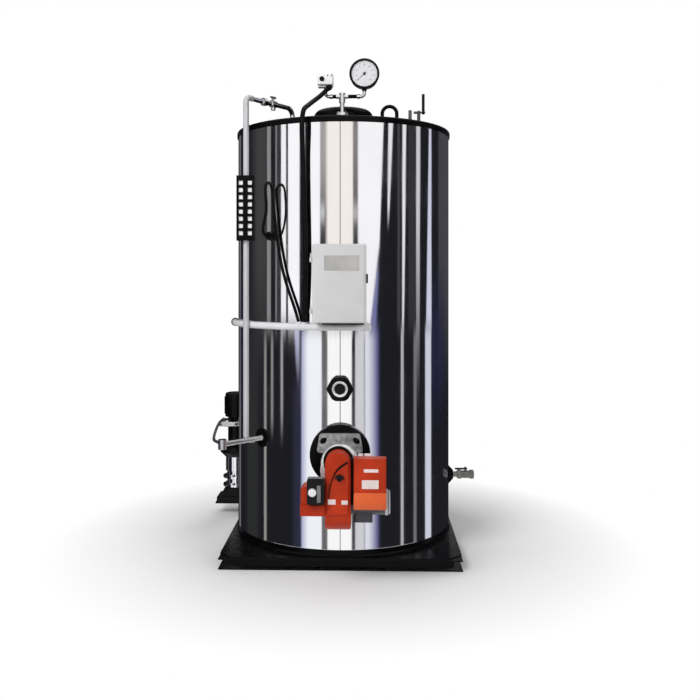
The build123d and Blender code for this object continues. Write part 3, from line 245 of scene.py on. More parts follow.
def cuboid(bm, low, high):
    """A box between two corners; gives its vertices."""
    low, high = Vector(low), Vector(high)
    to = Matrix.Translation((low + high) / 2) @ Matrix.Diagonal((*(high - low), 1))
    return bmesh.ops.create_cube(bm, size=1, matrix=to)["verts"]


def round_off(bm, edges, offset, segments):
    """Round edges over."""
    bmesh.ops.bevel(
        bm, geom=list(edges), offset=offset, segments=segments, profile=0.5, affect="EDGES", material=-1
    )


def block(bm, low, high, rounding, segments):
    """A box between two corners with all its edges rounded."""
    round_off(bm, {e for v in cuboid(bm, low, high) for e in v.link_edges}, rounding, segments)


seam_steel = finish(
    "seam_steel", ((0.16, 0.16, 0.165), (0.26, 0.26, 0.265)), (0.3, 0.45), (160, 0.00006), metal=1.0, patch=6
)
strip_y, strip_half, strip_thick, strip_short = 0.5275, 0.004, 0.0012, 0.001
bm = bmesh.new()
for seam_y in (-strip_y, strip_y):
    block(
        bm, (-strip_half, seam_y - strip_thick, jacket_low + strip_short),
        (strip_half, seam_y + strip_thick, jacket_high - strip_short), 0.0004, 1,
    )
settle(bm, "jacket_seam_strips", seam_steel)

# Top: a rolled ring round the jacket's rim, the plate inside it and the flue hood on its neck.
# All are enamelled black; the hood is pressed from one sheet and sits on a short pipe.
dress(black_enamel, "top_ring", "top_plate", "flue_hood")

# Lifting lugs: round bar bent to a loop and welded to the top plate on two opposite sides.
# A bead of weld goes round the foot of each leg, and the enamel covers it.
dress(black_enamel, "lifting_lug_front", "lifting_lug_rear")
bar_radius = 0.0085
lug_weld = [(0.0075, 0), (0.0075, 0.008), (0.0105, 0.006), (0.0145, 0)]
for side in ("front", "rear"):
    low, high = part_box("lifting_lug_" + side)
    bm = bmesh.new()
    for leg_x in (low.x + bar_radius, high.x - bar_radius):
        turn(bm, lug_weld, Matrix.Translation((leg_x, (low.y + high.y) / 2, low.z)), 28, ring=True)
    settle(bm, "lifting_lug_weld_" + side, black_enamel, crease=60)

# Steam branch and gauge header: drawn steel tube with turned collars, left bright or chromed.
# The header is bolted down by its flange and carries the gauge and the switch on two arms.
# A black sleeve is pushed over each arm.
pipe_steel = finish(
    "pipe_steel", ((0.48, 0.48, 0.49), (0.62, 0.62, 0.63)), (0.22, 0.36), (240, 0.00008), metal=1.0, patch=18
)
chrome = finish(
    "chromed_tube", ((0.74, 0.74, 0.76), (0.84, 0.84, 0.86)), (0.07, 0.13), (30, 0.00004), metal=1.0, patch=14
)
dress(pipe_steel, "steam_branch")
dress(chrome, "gauge_header")
low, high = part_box("gauge_header")
header_y = (low.y + high.y) / 2


def spot(place, axis):
    """A matrix that stands a piece made along +Z at a place, along the given axis."""
    tilt = Vector((0, 0, 1)).rotation_difference(Vector(axis))
    return Matrix.Translation(place) @ tilt.to_matrix().to_4x4()


def hexagon(bm, radius, height, to, chamfer):
    """A hexagon nut or bolt head, chamfered on its outer corners, with its foot at the place."""
    made = bmesh.ops.create_cone(
        bm, cap_ends=True, segments=6, radius1=radius, radius2=radius, depth=height,
        matrix=to @ Matrix.Translation((0, 0, height / 2)),
    )
    edges = {e for v in made["verts"] for e in v.link_edges}
    round_off(bm, [e for e in edges if any(len(f.verts) == 6 for f in e.link_faces)], chamfer, 2)


bolt_circle, flange_thick = 0.024, 0.012
bm = bmesh.new()
for quarter in range(4):
    swing = math.radians(45 + 90 * quarter)
    bolt = (bolt_circle * math.cos(swing), header_y + bolt_circle * math.sin(swing), low.z + flange_thick)
    hexagon(bm, 0.0055, 0.0045, Matrix.Translation(bolt), 0.0006)
settle(bm, "header_flange_bolts", pipe_steel)
rightward = (1, 0, 0)
arm_z, arm_radius, sleeve_radius, chamfer = 2.18, 0.0079, 0.0091, 0.0008
bm = bmesh.new()
for start, end in ((-0.052, -0.029), (0.029, 0.071)):
    sleeve = [
        (arm_radius, 0.0), (sleeve_radius, chamfer),
        (sleeve_radius, end - start - chamfer), (arm_radius, end - start),
    ]
    turn(bm, sleeve, spot((start, header_y, arm_z), rightward), 40, ring=True)
settle(bm, "header_arm_sleeves", black_enamel)

# Pressure gauge: a round case with a rolled bezel, a white dial set back in it and a needle.
# The case is pressed steel painted black and screwed to the header's arm; the dial is printed tin.
# The dial carries plain numbers and a ring of marks.
gauge_black = finish(
    "gauge_case_black", ((0.0015, 0.0015, 0.002), (0.004, 0.004, 0.0045)), (0.3, 0.42), (420, 0.00006), shine=0.15
)
dress(gauge_black, "pressure_gauge")
facing = (0, -1, 0)
case_radius, dial_depth, ink_depth = 0.072, 0.0059, 0.0051
low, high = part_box("pressure_gauge")
dial_centre = Vector(((low.x + high.x) / 2, low.y, high.z - case_radius))


def turned(name, profile, to, steps, material, ring=False):
    """A turned shape that is a piece of its own."""
    bm = bmesh.new()
    turn(bm, profile, to, steps, ring)
    settle(bm, name, material)


bezel = [
    (0.0622, -0.0055), (0.0622, 0.0), (0.0638, 0.0016), (0.067, 0.0022), (0.0705, 0.0014), (0.0724, -0.001),
    (0.0724, -0.0095),
]
turned("gauge_bezel", bezel, spot(dial_centre, facing), 128, gauge_black, ring=True)
dial_white = finish(
    "gauge_dial_white", ((0.74, 0.74, 0.77), (0.8, 0.8, 0.83)), (0.45, 0.55), (500, 0.00002), shine=0.3, patch=9
)
dial_disc = [(0.0, 0.0006), (0.0618, 0.0006), (0.0624, 0.0), (0.0, 0.0)]
dial_back = dial_centre + Vector((0, dial_depth, 0))
turned("gauge_dial", dial_disc, spot(dial_back, facing), 128, dial_white)


def add_curve(bm, curve, to):
    """Add the mesh of a curve or of text to a bmesh, at a place, and drop the curve."""
    carrier = bpy.data.objects.new(curve.name, curve)
    flat = bpy.data.meshes.new_from_object(carrier)
    flat.transform(to)
    bm.from_mesh(flat)
    bpy.data.objects.remove(carrier)
    bpy.data.curves.remove(curve)
    bpy.data.meshes.remove(flat)


ink = finish("dial_ink", ((0.2, 0.2, 0.21), (0.28, 0.28, 0.29)), (0.5, 0.6), (60, 0.00001), shine=0.3, patch=30)
dial_face = dial_centre + Vector((0, ink_depth, 0))
upright = Matrix.Rotation(math.radians(90), 4, "X")
to_dial = Matrix.Translation(dial_face) @ upright
scale_start, scale_sweep, mark_count, last_number = 225, 270, 40, 16
number_radius, number_size, ink_height = 0.0405, 0.0125, 0.0001
bm = bmesh.new()
for mark in range(mark_count + 1):
    swing = Matrix.Rotation(math.radians(scale_start - scale_sweep * mark / mark_count), 4, "Z")
    mark_radius, length, width = (0.0548, 0.004, 0.0006) if mark % 5 else (0.0528, 0.0075, 0.001)
    bar = Matrix.Translation((mark_radius, 0, 0)) @ Matrix.Diagonal((length, width, 2 * ink_height, 1))
    bmesh.ops.create_cube(bm, size=1, matrix=to_dial @ swing @ bar)
for label in range(0, last_number + 1, 2):
    swing = math.radians(scale_start - scale_sweep * label / last_number)
    words = bpy.data.curves.new("dial_number", "FONT")
    words.body = str(label)
    words.size = number_size
    words.align_x = "CENTER"
    words.align_y = "CENTER"
    words.extrude = ink_height
    middle = (number_radius * math.cos(swing), number_radius * math.sin(swing), 0)
    add_curve(bm, words, to_dial @ Matrix.Translation(middle))
settle(bm, "gauge_dial_marks", ink, crease=20)
needle_lift, needle_middle, needle_size = 0.0012, 0.018, (0.064, 0.0026, 0.0007)
tip_reach, tip_taper = 0.006, 0.25
needle_turn = Matrix.Rotation(math.radians(222), 4, "Z")
needle_bar = Matrix.Translation((needle_middle, 0, 0)) @ Matrix.Diagonal((*needle_size, 1))
to_needle = to_dial @ Matrix.Translation((0, 0, needle_lift)) @ needle_turn @ needle_bar
bm = bmesh.new()
needle = bmesh.ops.create_cube(bm, size=1, matrix=to_needle)["verts"]
tip = max(needle, key=lambda v: (v.co - dial_face).length).co.copy()
tip_points = [v for v in needle if (v.co - tip).length < tip_reach]
middle = sum((v.co for v in tip_points), Vector()) / len(tip_points)
for v in tip_points:
    v.co = middle.lerp(v.co, tip_taper)
needle_hub = [(0, 0.0034), (0.0052, 0.0034), (0.0062, 0.0026), (0.0062, 0.0), (0, 0.0)]
turn(bm, needle_hub, to_dial, 40)
needle_black = finish(
    "needle_black", ((0.012, 0.012, 0.013), (0.03, 0.03, 0.031)), (0.4, 0.5), (60, 0.00001), shine=0.3, patch=30
)
settle(bm, "gauge_needle", needle_black)

# Pressure switch: a white moulded cover on a narrower foot, screwed to the header's other arm.
# A black setting knob and two screws are in its front.
# Its cable leaves through a moulded gland with a hexagon, at the slant of the cable.
white_plastic = finish(
    "switch_white", ((0.86, 0.86, 0.87), (0.92, 0.92, 0.93)), (0.36, 0.48), (380, 0.00006), patch=16
)
black_plastic = finish(
    "moulded_black", ((0.002, 0.002, 0.0023), (0.006, 0.006, 0.0065)), (0.34, 0.5), (480, 0.0001),
    shine=0.17, patch=14,
)
switch_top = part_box("pressure_switch")[1].z
switch_front = -0.271
bm = bmesh.new()
block(bm, (-0.1175, switch_front, 2.229), (-0.0425, -0.199, switch_top), 0.005, 4)
switch_cover = settle(bm, "switch_cover", white_plastic)
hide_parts("pressure_switch")
bm = bmesh.new()
block(bm, (-0.115, -0.255, 2.221), (-0.045, -0.215, 2.2292), 0.0015, 2)
settle(bm, "switch_foot", white_plastic)
switch_route = [
    (-0.0660, -0.2560, 2.2140), (-0.0840, -0.2781, 2.1890), (-0.1049, -0.3120, 2.1620),
    (-0.1239, -0.3609, 2.1356), (-0.1401, -0.4199, 2.1094), (-0.1498, -0.4779, 2.0859),
    (-0.1622, -0.5240, 2.0659), (-0.1678, -0.5490, 2.0318), (-0.1700, -0.5559, 1.9821),
    (-0.1686, -0.5481, 1.9251), (-0.1664, -0.5408, 1.8486), (-0.1634, -0.5378, 1.7513),
    (-0.1598, -0.5362, 1.6215), (-0.1571, -0.5372, 1.4917), (-0.1547, -0.5361, 1.3712),
    (-0.1562, -0.5340, 1.2702), (-0.1590, -0.5300, 1.1849), (-0.1605, -0.5248, 1.1070),
]
gland_foot = Vector(switch_route[0])
gland_way = gland_foot - Vector(switch_route[1])
gland_sleeve = [(0.0105, -0.006), (0.013, -0.0045), (0.0135, 0.0), (0.0135, 0.017), (0.0, 0.017)]
nut_lift = 0.003
bm = bmesh.new()
turn(bm, gland_sleeve, spot(gland_foot, gland_way), 40)
hexagon(bm, 0.0165, 0.008, spot(gland_foot + gland_way.normalized() * nut_lift, gland_way), 0.001)
settle(bm, "switch_gland", black_plastic)
knob = Vector((-0.096, switch_front, 2.256))
knob_profile = [
    (0.0, 0.0102), (0.0075, 0.0102), (0.0088, 0.0092), (0.0095, 0.002),
    (0.0118, 0.0014), (0.0118, 0.0), (0.0, 0.0),
]
grip_out, grip_size, screw_z = 0.0105, (0.003, 0.003, 0.014), 2.2725
switch_screw = [(0.0, 0.0012), (0.0022, 0.0012), (0.003, 0.0), (0.0, 0.0)]
bm = bmesh.new()
turn(bm, knob_profile, spot(knob, facing), 36)
grip = Matrix.Translation(knob + Vector((0, -grip_out, 0))) @ Matrix.Diagonal((*grip_size, 1))
bmesh.ops.create_cube(bm, size=1, matrix=grip)
for screw_x in (-0.068, -0.05):
    turn(bm, switch_screw, spot((screw_x, switch_front, screw_z), facing), 20)
settle(bm, "switch_knob", black_plastic)

# Cables of the switch and of the level probe: round black rubber, clipped to nothing on the way.
# Each leaves a gland, keeps its own stiffness in the bends and goes into a bushing on the trunking.
cable_rubber = finish(
    "cable_rubber", ((0.0015, 0.0015, 0.0018), (0.005, 0.005, 0.0055)), (0.4, 0.55), (700, 0.00012),
    shine=0.12, patch=24,
)


def smooth_line(name, route, radius, sides, steps, girths=None):
    """A round line on one smooth spline, with a route's points as its control points."""
    line = bpy.data.curves.new(name, "CURVE")
    line.dimensions = "3D"
    spline = line.splines.new("NURBS")
    spline.points.add(len(route) - 1)
    for point, place, girth in zip(spline.points, route, girths or [1] * len(route)):
        point.co = (*place, 1)
        point.radius = girth
    spline.order_u = 3
    spline.use_endpoint_u = True
    spline.resolution_u = steps
    line.bevel_depth = radius
    line.bevel_resolution = sides
    line.use_fill_caps = True
    return line


def cord_piece(name, route, radius, material, node):
    """A cord that takes the place of its CAD node."""
    line = smooth_line(name, route, radius, 6, 10)
    line.materials.append(material)
    piece = bpy.data.objects.new(name, line)
    bpy.context.scene.collection.objects.link(piece)
    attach(piece, "boiler")
    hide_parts(node)
    return piece


switch_lead = cord_piece("switch_lead", switch_route, 0.011, cable_rubber, "switch_cable")
probe_route = [
    (-0.3317, -0.4565, 1.4970), (-0.3417, -0.4703, 1.4970), (-0.3487, -0.4852, 1.5049),
    (-0.3508, -0.4991, 1.5229), (-0.3451, -0.5078, 1.5522), (-0.3339, -0.5121, 1.5959),
    (-0.3331, -0.5129, 1.6400), (-0.3369, -0.5110, 1.6799), (-0.3386, -0.5077, 1.7178),
    (-0.3315, -0.4896, 1.7370), (-0.3216, -0.4644, 1.7370), (-0.3147, -0.4461, 1.7178),
    (-0.3127, -0.4467, 1.6822), (-0.3081, -0.4499, 1.6387), (-0.3032, -0.4529, 1.5902),
    (-0.2968, -0.4571, 1.5348), (-0.2881, -0.4629, 1.4699), (-0.2752, -0.4709, 1.3949),
    (-0.2590, -0.4810, 1.3250), (-0.2399, -0.4920, 1.2620), (-0.2188, -0.5031, 1.2053),
    (-0.1997, -0.5122, 1.1517), (-0.1878, -0.5161, 1.1070),
]
probe_lead = cord_piece("probe_lead", probe_route, 0.007, cable_rubber, "probe_cable")

# Level pipe with its guard, crossover, union and cock: bright drawn tube beside the jacket.
# The guard is a folded black sheet with square holes over a white backing strip.
# Partly painted reflection: the level pipe's pale base, with little metal, stands in for the bright surroundings
# it mirrors.
level_white_and_reflection = finish(
    "level_pipe_white", ((0.56, 0.56, 0.585), (0.64, 0.64, 0.665)), (0.3, 0.4), (12, 0.00004), metal=0.2, patch=5
)
dark_steel = finish(
    "dark_steel", ((0.1, 0.1, 0.105), (0.2, 0.2, 0.205)), (0.24, 0.4), (260, 0.0001), metal=0.8, patch=18
)
dress(level_white_and_reflection, "level_pipe")
dress(chrome, "level_crossover", "level_cock")
dress(dark_steel, "level_cock_handle")
dress(black_enamel, "level_guard")
low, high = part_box("level_guard")
side_gap, end_gap, backing_front, backing_back = 0.004, 0.006, 0.0042, 0.0062
bm = bmesh.new()
block(
    bm, (low.x + side_gap, low.y + backing_front, low.z + end_gap),
    (high.x - side_gap, low.y + backing_back, high.z - end_gap), 0.0005, 1,
)
settle(bm, "guard_backing", white_plastic)

# Probe gland: a hexagon nut and a sleeve moulded in black plastic.
# It is screwed into the jacket's side and grips the probe's cable where it comes out.
dress(black_plastic, "probe_gland")

# Cable trunking: a round tube bent along the jacket, sprayed pale grey, with a black end plug.
# Two bushings take the cables and a square riser goes up into the control box.
pale_paint = finish(
    "pale_trunking_paint", ((0.74, 0.74, 0.76), (0.8, 0.8, 0.82)), (0.24, 0.34), (120, 0.00004), patch=7
)
dress(pale_paint, "cable_trunking")
end_angle, trunking_radius, trunking_z = math.radians(186.5), 0.5458, 1.085
trunk_way = Vector((math.cos(end_angle), math.sin(end_angle), 0))
trunk_end = trunk_way * trunking_radius + Vector((0, 0, trunking_z))
end_plug = [(0.0, 0.0045), (0.016, 0.0045), (0.0205, 0.003), (0.0205, -0.006), (0.0165, -0.012), (0.0, -0.012)]
to_end = spot(trunk_end, (trunk_way.y, -trunk_way.x, 0))
turned("trunking_end_plug", end_plug, to_end, 48, black_plastic)

# Control box: a folded steel tray on two rails, with a pressed door on two barrel hinges.
# Both are sprayed light grey; a black rubber strip seals them and a black latch shuts the door.
# A bare metal plate is riveted to the door, and a black strip under the box is painted shadow.
grey_paint = finish(
    "light_grey_paint", ((0.59, 0.59, 0.6), (0.65, 0.65, 0.66)), (0.3, 0.42), (330, 0.0001), patch=7
)
dress(grey_paint, "control_box_body", "control_box_hinges")
dress(pipe_steel, "control_box_rails")
dress(black_plastic, "door_latch")
box_low, box_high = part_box("control_box_body")
seal_out, seal_in, seal_end, seal_proud, seal_sunk = 0.001, 0.007, 0.004, 0.0042, 0.001
bm = bmesh.new()
for (left, foot), (right, head) in (
    ((box_low.x + seal_out, box_low.z + seal_end), (box_low.x + seal_in, box_high.z - seal_end)),
    ((box_high.x - seal_in, box_low.z + seal_end), (box_high.x - seal_out, box_high.z - seal_end)),
    ((box_low.x + seal_end, box_low.z + seal_out), (box_high.x - seal_end, box_low.z + seal_in)),
    ((box_low.x + seal_end, box_high.z - seal_in), (box_high.x - seal_end, box_high.z - seal_out)),
):
    block(bm, (left, box_low.y - seal_proud, foot), (right, box_low.y + seal_sunk, head), 0.0012, 2)
# Painted shadow: a black strip along the box's bottom edge stands for the shade in the gap above the trunking.
shadow_strip_depth, shadow_strip_drop, shadow_strip_overlap = 0.07, 0.0075, 0.0005
block(
    bm, (-0.078, box_low.y + seal_sunk, box_low.z - shadow_strip_drop),
    (0.108, box_low.y + shadow_strip_depth, box_low.z + shadow_strip_overlap), 0.0015, 2,
)
settle(bm, "door_seal", cable_rubber)
door_low, door_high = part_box("control_box_door")
corner_round, edge_round, free_edge = 0.009, 0.008, 0.03
pressed_depth, pressed_draft = 0.008, 0.011
bm = bmesh.new()
cuboid(bm, (box_low.x, door_low.y, door_low.z), (box_high.x, door_high.y, door_high.z))
round_off(bm, [e for e in bm.edges if abs(e.verts[0].co.y - e.verts[1].co.y) > 0.005], corner_round, 5)
panel = min(bm.faces, key=lambda f: f.calc_center_median().y)
round_off(bm, panel.edges, edge_round, 3)
for v in bm.verts:
    depth = v.co.y - door_low.y
    if v.co.x > box_high.x - free_edge and depth < pressed_depth:
        v.co.x -= pressed_draft * (1 - depth / pressed_depth)
door_panel = settle(bm, "door_panel", grey_paint, body="control_door")
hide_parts("control_box_door")
plate_metal = finish(
    "bare_plate", ((0.42, 0.425, 0.43), (0.52, 0.525, 0.53)), (0.28, 0.38), (220, 0.00004),
    metal=1.0, stretch=(0.3, 1, 9), patch=12,
)
plate_front, plate_back = door_low.y - 0.0009, door_low.y + 0.0008
rivet = [(0.0, 0.0011), (0.0014, 0.0009), (0.0022, 0.0), (0.0, 0.0)]
bm = bmesh.new()
block(bm, (-0.066, plate_front, 1.337), (0.086, plate_back, 1.402), 0.0004, 1)
for rivet_x in (-0.060, 0.080):
    for rivet_z in (1.343, 1.396):
        turn(bm, rivet, spot((rivet_x, plate_front, rivet_z), facing), 16)
settle(bm, "door_plate", plate_metal, body="control_door")

# Sight port: a forged hexagon on a round neck, enamelled black, its corners worn round in use.
# It is screwed into the jacket, and a turned ring holds its dark glass; the ring's near white is partly painted
# reflection.
dark_glass = finish(
    "sight_glass", ((0.0015, 0.002, 0.002), (0.004, 0.005, 0.005)), (0.03, 0.06), (60, 0.00002), shine=0.1
)
# Partly painted reflection: a near-white base under a half-metal gloss stands in for the bright surroundings
# mirrored.
bright_pipe = finish(
    "bright_pipe", ((0.82, 0.82, 0.84), (0.9, 0.9, 0.91)), (0.2, 0.3), (200, 0.00002),
    metal=0.55, stretch=(6, 6, 0.2), patch=8,
)
dress(dark_glass, "sight_port_glass")
low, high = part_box("sight_port_body")
port = Vector(((low.x + high.x) / 2, low.y, (low.z + high.z) / 2))
blank, flat, neck, side_corner, other_corner = 0.062, 0.0537, 0.048, 0.0612, 0.0568
port_profile = [
    (0.03, -0.008), (0.03, 0.0), (0.056, 0.0), (0.0605, -0.0022), (blank, -0.006), (blank, -0.024),
    (neck, -0.024), (neck, -0.0443),
]
bm = bmesh.new()
turn(bm, port_profile, spot(port, facing), 144, ring=True)
for v in bm.verts:
    out = Vector((v.co.x - port.x, v.co.z - port.z))
    if out.length > neck + 0.002:
        swing = math.atan2(out.y, out.x)
        edge = flat / math.cos((swing % math.radians(60)) - math.radians(30))
        worn = side_corner if abs(math.sin(swing)) < 0.35 else other_corner
        out *= min(edge, worn) / blank
        v.co.x = port.x + out.x
        v.co.z = port.z + out.y
sight_hexagon = settle(bm, "sight_hexagon", black_enamel)
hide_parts("sight_port_body")
glass_ring = [
    (0.0245, -0.0039), (0.0262, -0.0015), (0.0315, 0.002), (0.0335, 0.0022), (0.0355, 0.0006), (0.036, -0.001),
]
turned("sight_ring", glass_ring, spot(port, facing), 96, bright_pipe, ring=True)

# Burner mount: a black plate on the jacket, a cast aluminium flange with slots and a polished collar.
# Studs stand in the slots, each with a washer and a nut.
# The collar's front ring is turned with a rounded edge and pressed on behind the burner.
dress(black_enamel, "burner_mount_plate", "burner_rear_plate")
cast_aluminium = finish(
    "cast_aluminium", ((0.22, 0.22, 0.23), (0.52, 0.52, 0.53)), (0.34, 0.5), (420, 0.0003), metal=0.7, patch=55
)
dress(cast_aluminium, "burner_flange")
# Partly painted reflection: the collar's near-white base, under less than half metal, stands in for its mirrored
# surroundings.
polished_collar = finish(
    "polished_collar", ((0.86, 0.86, 0.87), (0.92, 0.92, 0.93)), (0.2, 0.3), (40, 0.00004), metal=0.4, patch=12
)
dress(polished_collar, "burner_collar")
to_collar = spot((0.006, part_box("burner_rear_plate")[1].y, 0.517), facing)
collar_ring = [(0.045, 0.0), (0.066, 0.0), (0.0775, -0.0035), (0.082, -0.0105), (0.082, -0.02), (0.045, -0.02)]
turned("collar_front_ring", collar_ring, to_collar, 128, polished_collar, ring=True)
flange_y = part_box("burner_flange")[0].y
stud_x, stud_z, washer_thick = 0.073, 0.585, 0.002
washer = [(0.005, 0.0), (0.0125, 0.0), (0.0125, washer_thick), (0.005, washer_thick)]
stud = [(0.0, 0.016), (0.004, 0.016), (0.005, 0.015), (0.005, 0.0), (0.0, 0.0)]
bm = bmesh.new()
for side_x in (-stud_x, stud_x):
    on_washer = spot((side_x, flange_y - washer_thick, stud_z), facing)
    turn(bm, washer, spot((side_x, flange_y, stud_z), facing), 32, ring=True)
    hexagon(bm, 0.0095, 0.007, on_washer, 0.0009)
    turn(bm, stud, on_washer, 24)
settle(bm, "flange_nuts", black_enamel)

# Burner casing, air intake and control cover: die castings and a folded cover, sprayed orange red.
# The casing's raised face follows the scroll along a rubber joint widened as painted shade; the peephole has a
# small hood.
# The cover is screwed on with a sloping sill below and zinc tabs behind; a black block in its side gap is painted
# shade.
burner_red = finish(
    "burner_red", ((0.42, 0.03, 0.0075), (0.54, 0.044, 0.011)), (0.3, 0.42), (300, 0.00012), shine=0.14, patch=9
)
dress(burner_red, "burner_casing", "burner_air_intake", "burner_control_cover")
casing_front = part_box("burner_casing")[0].y
face_y = casing_front + 0.005
cover_y, back_y = (corner.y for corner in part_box("burner_control_cover"))
peephole = Vector((0.007, casing_front, 0.476))
peephole_disc = [(0.0, -0.004), (0.0105, -0.004), (0.0105, -0.0065), (0.0, -0.0065)]
turned("peephole_glass", peephole_disc, spot(peephole, facing), 48, dark_glass)
pale_plate = finish(
    "pale_plate", ((0.78, 0.66, 0.64), (0.88, 0.77, 0.75)), (0.4, 0.5), (300, 0.00003), patch=30
)
plate_proud, plate_sunk = 0.0008, 0.001
bm = bmesh.new()
for carrier_y, (left, foot), (right, head) in (
    (face_y, (-0.041, 0.3715), (-0.009, 0.3925)),
    (face_y, (0.015, 0.3715), (0.041, 0.3885)),
    (cover_y, (0.107, 0.5065), (0.167, 0.520)),
    (cover_y, (0.099, 0.439), (0.168, 0.475)),
):
    block(bm, (left, carrier_y - plate_proud, foot), (right, carrier_y + plate_sunk, head), 0.0004, 1)
settle(bm, "burner_plates", pale_plate)
face_screw = [(0.0, 0.0022), (0.0028, 0.0022), (0.0036, 0.0014), (0.0036, 0.0), (0.0, 0.0)]
cover_screw = [(0.0, 0.002), (0.003, 0.002), (0.004, 0.001), (0.004, 0.0), (0.0, 0.0)]
bm = bmesh.new()
for screw_x, screw_z in ((-0.036, 0.357), (0.036, 0.357), (0.036, 0.53)):
    turn(bm, face_screw, spot((screw_x, face_y, screw_z), facing), 24)
for screw_x, screw_z in ((0.076, 0.552), (0.189, 0.552), (0.076, 0.392), (0.189, 0.392)):
    turn(bm, cover_screw, spot((screw_x, cover_y, screw_z), facing), 24)
settle(bm, "burner_screws", burner_red)
sill_left, sill_width, sill_round = 0.0655, 0.134, 0.0025
sill_profile = ((0, 0.424), (0.017, 0.386), (0.017, 0.362), (0.011, 0.355), (0, 0.355))
bm = bmesh.new()
sill_end = bm.faces.new([bm.verts.new((sill_left, cover_y - out, z)) for out, z in sill_profile])
grown = bmesh.ops.extrude_face_region(bm, geom=[sill_end])
bmesh.ops.translate(bm, vec=(sill_width, 0, 0), verts=points_of(grown["geom"]))
round_off(bm, bm.edges, sill_round, 3)
# Painted highlight: the sill is a lighter orange than the casing, for the light its upward slope catches.
sill_orange = finish(
    "sill_orange", ((0.66, 0.11, 0.034), (0.75, 0.14, 0.045)), (0.28, 0.4), (300, 0.00012), shine=0.2, patch=9
)
settle(bm, "cover_sill", sill_orange)
back_zinc = finish(
    "zinc_sheet", ((0.72, 0.72, 0.74), (0.84, 0.84, 0.86)), (0.3, 0.42), (120, 0.00004), metal=0.4, patch=40
)
bm = bmesh.new()
for left, right in ((0.084, 0.104), (0.109, 0.141)):
    block(bm, (left, back_y - 0.0005, 0.5), (right, back_y + 0.005, 0.572), 0.001, 2)
settle(bm, "cover_back_tabs", back_zinc)
hood_profile = ((0.0125, -0.001), (0.0125, 0.0042), (0.0205, 0.003), (0.0205, -0.001))
hood_sweep = 170
bm = bmesh.new()
sweep(bm, [bm.verts.new((radius, 0, out)) for radius, out in hood_profile], hood_sweep, 40)
bmesh.ops.transform(bm, matrix=Matrix.Translation(peephole) @ upright, verts=bm.verts)
settle(bm, "peephole_hood", black_plastic)
joint_route = [
    (0.0415, face_y, 0.5455), (0.014, face_y, 0.530), (-0.012, face_y, 0.502),
    (-0.027, face_y, 0.463), (-0.034, face_y, 0.425), (-0.0385, face_y, 0.396),
]
# Painted shade: the joint is drawn thickest at its top, in black, for the shade on the raised face's side wall.
joint_shade_girths = (2.4, 2.9, 2.1, 1.4, 1.2, 1.0)
joint_radius, joint_flatness = 0.0016, 0.5
bm = bmesh.new()
add_curve(bm, smooth_line("scroll_joint", joint_route, joint_radius, 3, 12, joint_shade_girths), Matrix())
for v in bm.verts:
    v.co.y = face_y + joint_flatness * (v.co.y - face_y)
settle(bm, "scroll_joint", cable_rubber)
# Painted shade: a black block fills the gap between casing and cover, standing for the shade there.
bm = bmesh.new()
block(bm, (0.0525, -0.806, 0.362), (0.0665, -0.792, 0.556), 0.0015, 2)
settle(bm, "cover_bracket", black_enamel)

# Air damper servo: a small gear drive in a black moulded housing, screwed to the front of the intake.
# It has a pale round cap over its shaft, a grey plate on top, and a grey strip down its front that is a painted
# highlight.
dress(black_plastic, "burner_servo")
low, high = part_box("burner_servo")
servo_cap = [(0.0, 0.001), (0.0135, 0.001), (0.016, 0.0), (0.0176, -0.002), (0.0176, -0.0058), (0.0, -0.0058)]
turned("servo_cap", servo_cap, spot((-0.1035, low.y, 0.427), facing), 48, white_plastic)
strip_grey = finish(
    "strip_grey", ((0.16, 0.155, 0.16), (0.24, 0.235, 0.24)), (0.34, 0.46), (380, 0.0001), shine=0.3, patch=18
)
housing_front = low.y + 0.006
bm = bmesh.new()
# Painted highlight: a grey strip down the black housing's front.
block(bm, (-0.0845, housing_front - 0.0016, 0.386), (-0.069, housing_front + 0.001, 0.456), 0.0012, 2)
block(bm, (-0.1235, housing_front + 0.004, 0.479), (-0.058, high.y - 0.004, 0.4865), 0.0015, 2)
settle(bm, "servo_strip", strip_grey)

# Fan motor: a dark grey painted drum beside the casing, bolted on by its flange.
# Cooling ribs go round the drum, and a paler end shield closes it on the right.
motor_grey = finish(
    "motor_grey", ((0.04, 0.042, 0.05), (0.066, 0.068, 0.078)), (0.38, 0.52), (300, 0.00015), patch=15
)
dress(motor_grey, "burner_motor")
motor_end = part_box("burner_motor")[1].x
motor_y, motor_z = -0.735, 0.357
rib_count, first_rib, rib_pitch = 9, 0.066, 0.0145
rib_profile = [(0.0515, 0.0), (0.0545, 0.0006), (0.0545, 0.0028), (0.0515, 0.0034)]
bm = bmesh.new()
for rib in range(rib_count):
    turn(bm, rib_profile, spot((first_rib + rib_pitch * rib, motor_y, motor_z), rightward), 72, ring=True)
settle(bm, "motor_ribs", motor_grey)
end_shield = finish(
    "end_shield_grey", ((0.48, 0.49, 0.5), (0.58, 0.59, 0.6)), (0.38, 0.5), (350, 0.0001), patch=14
)
shield_profile = [
    (0.0, 0.0015), (0.03, 0.0015), (0.0315, 0.0003), (0.041, 0.0003), (0.0425, 0.0012), (0.0465, 0.0012),
    (0.0512, -0.0035), (0.0543, -0.0105), (0.0543, -0.0205), (0.05, -0.0205),
]
to_end = spot((motor_end, motor_y, motor_z), rightward)
turned("motor_end_shield", shield_profile, to_end, 96, end_shield)

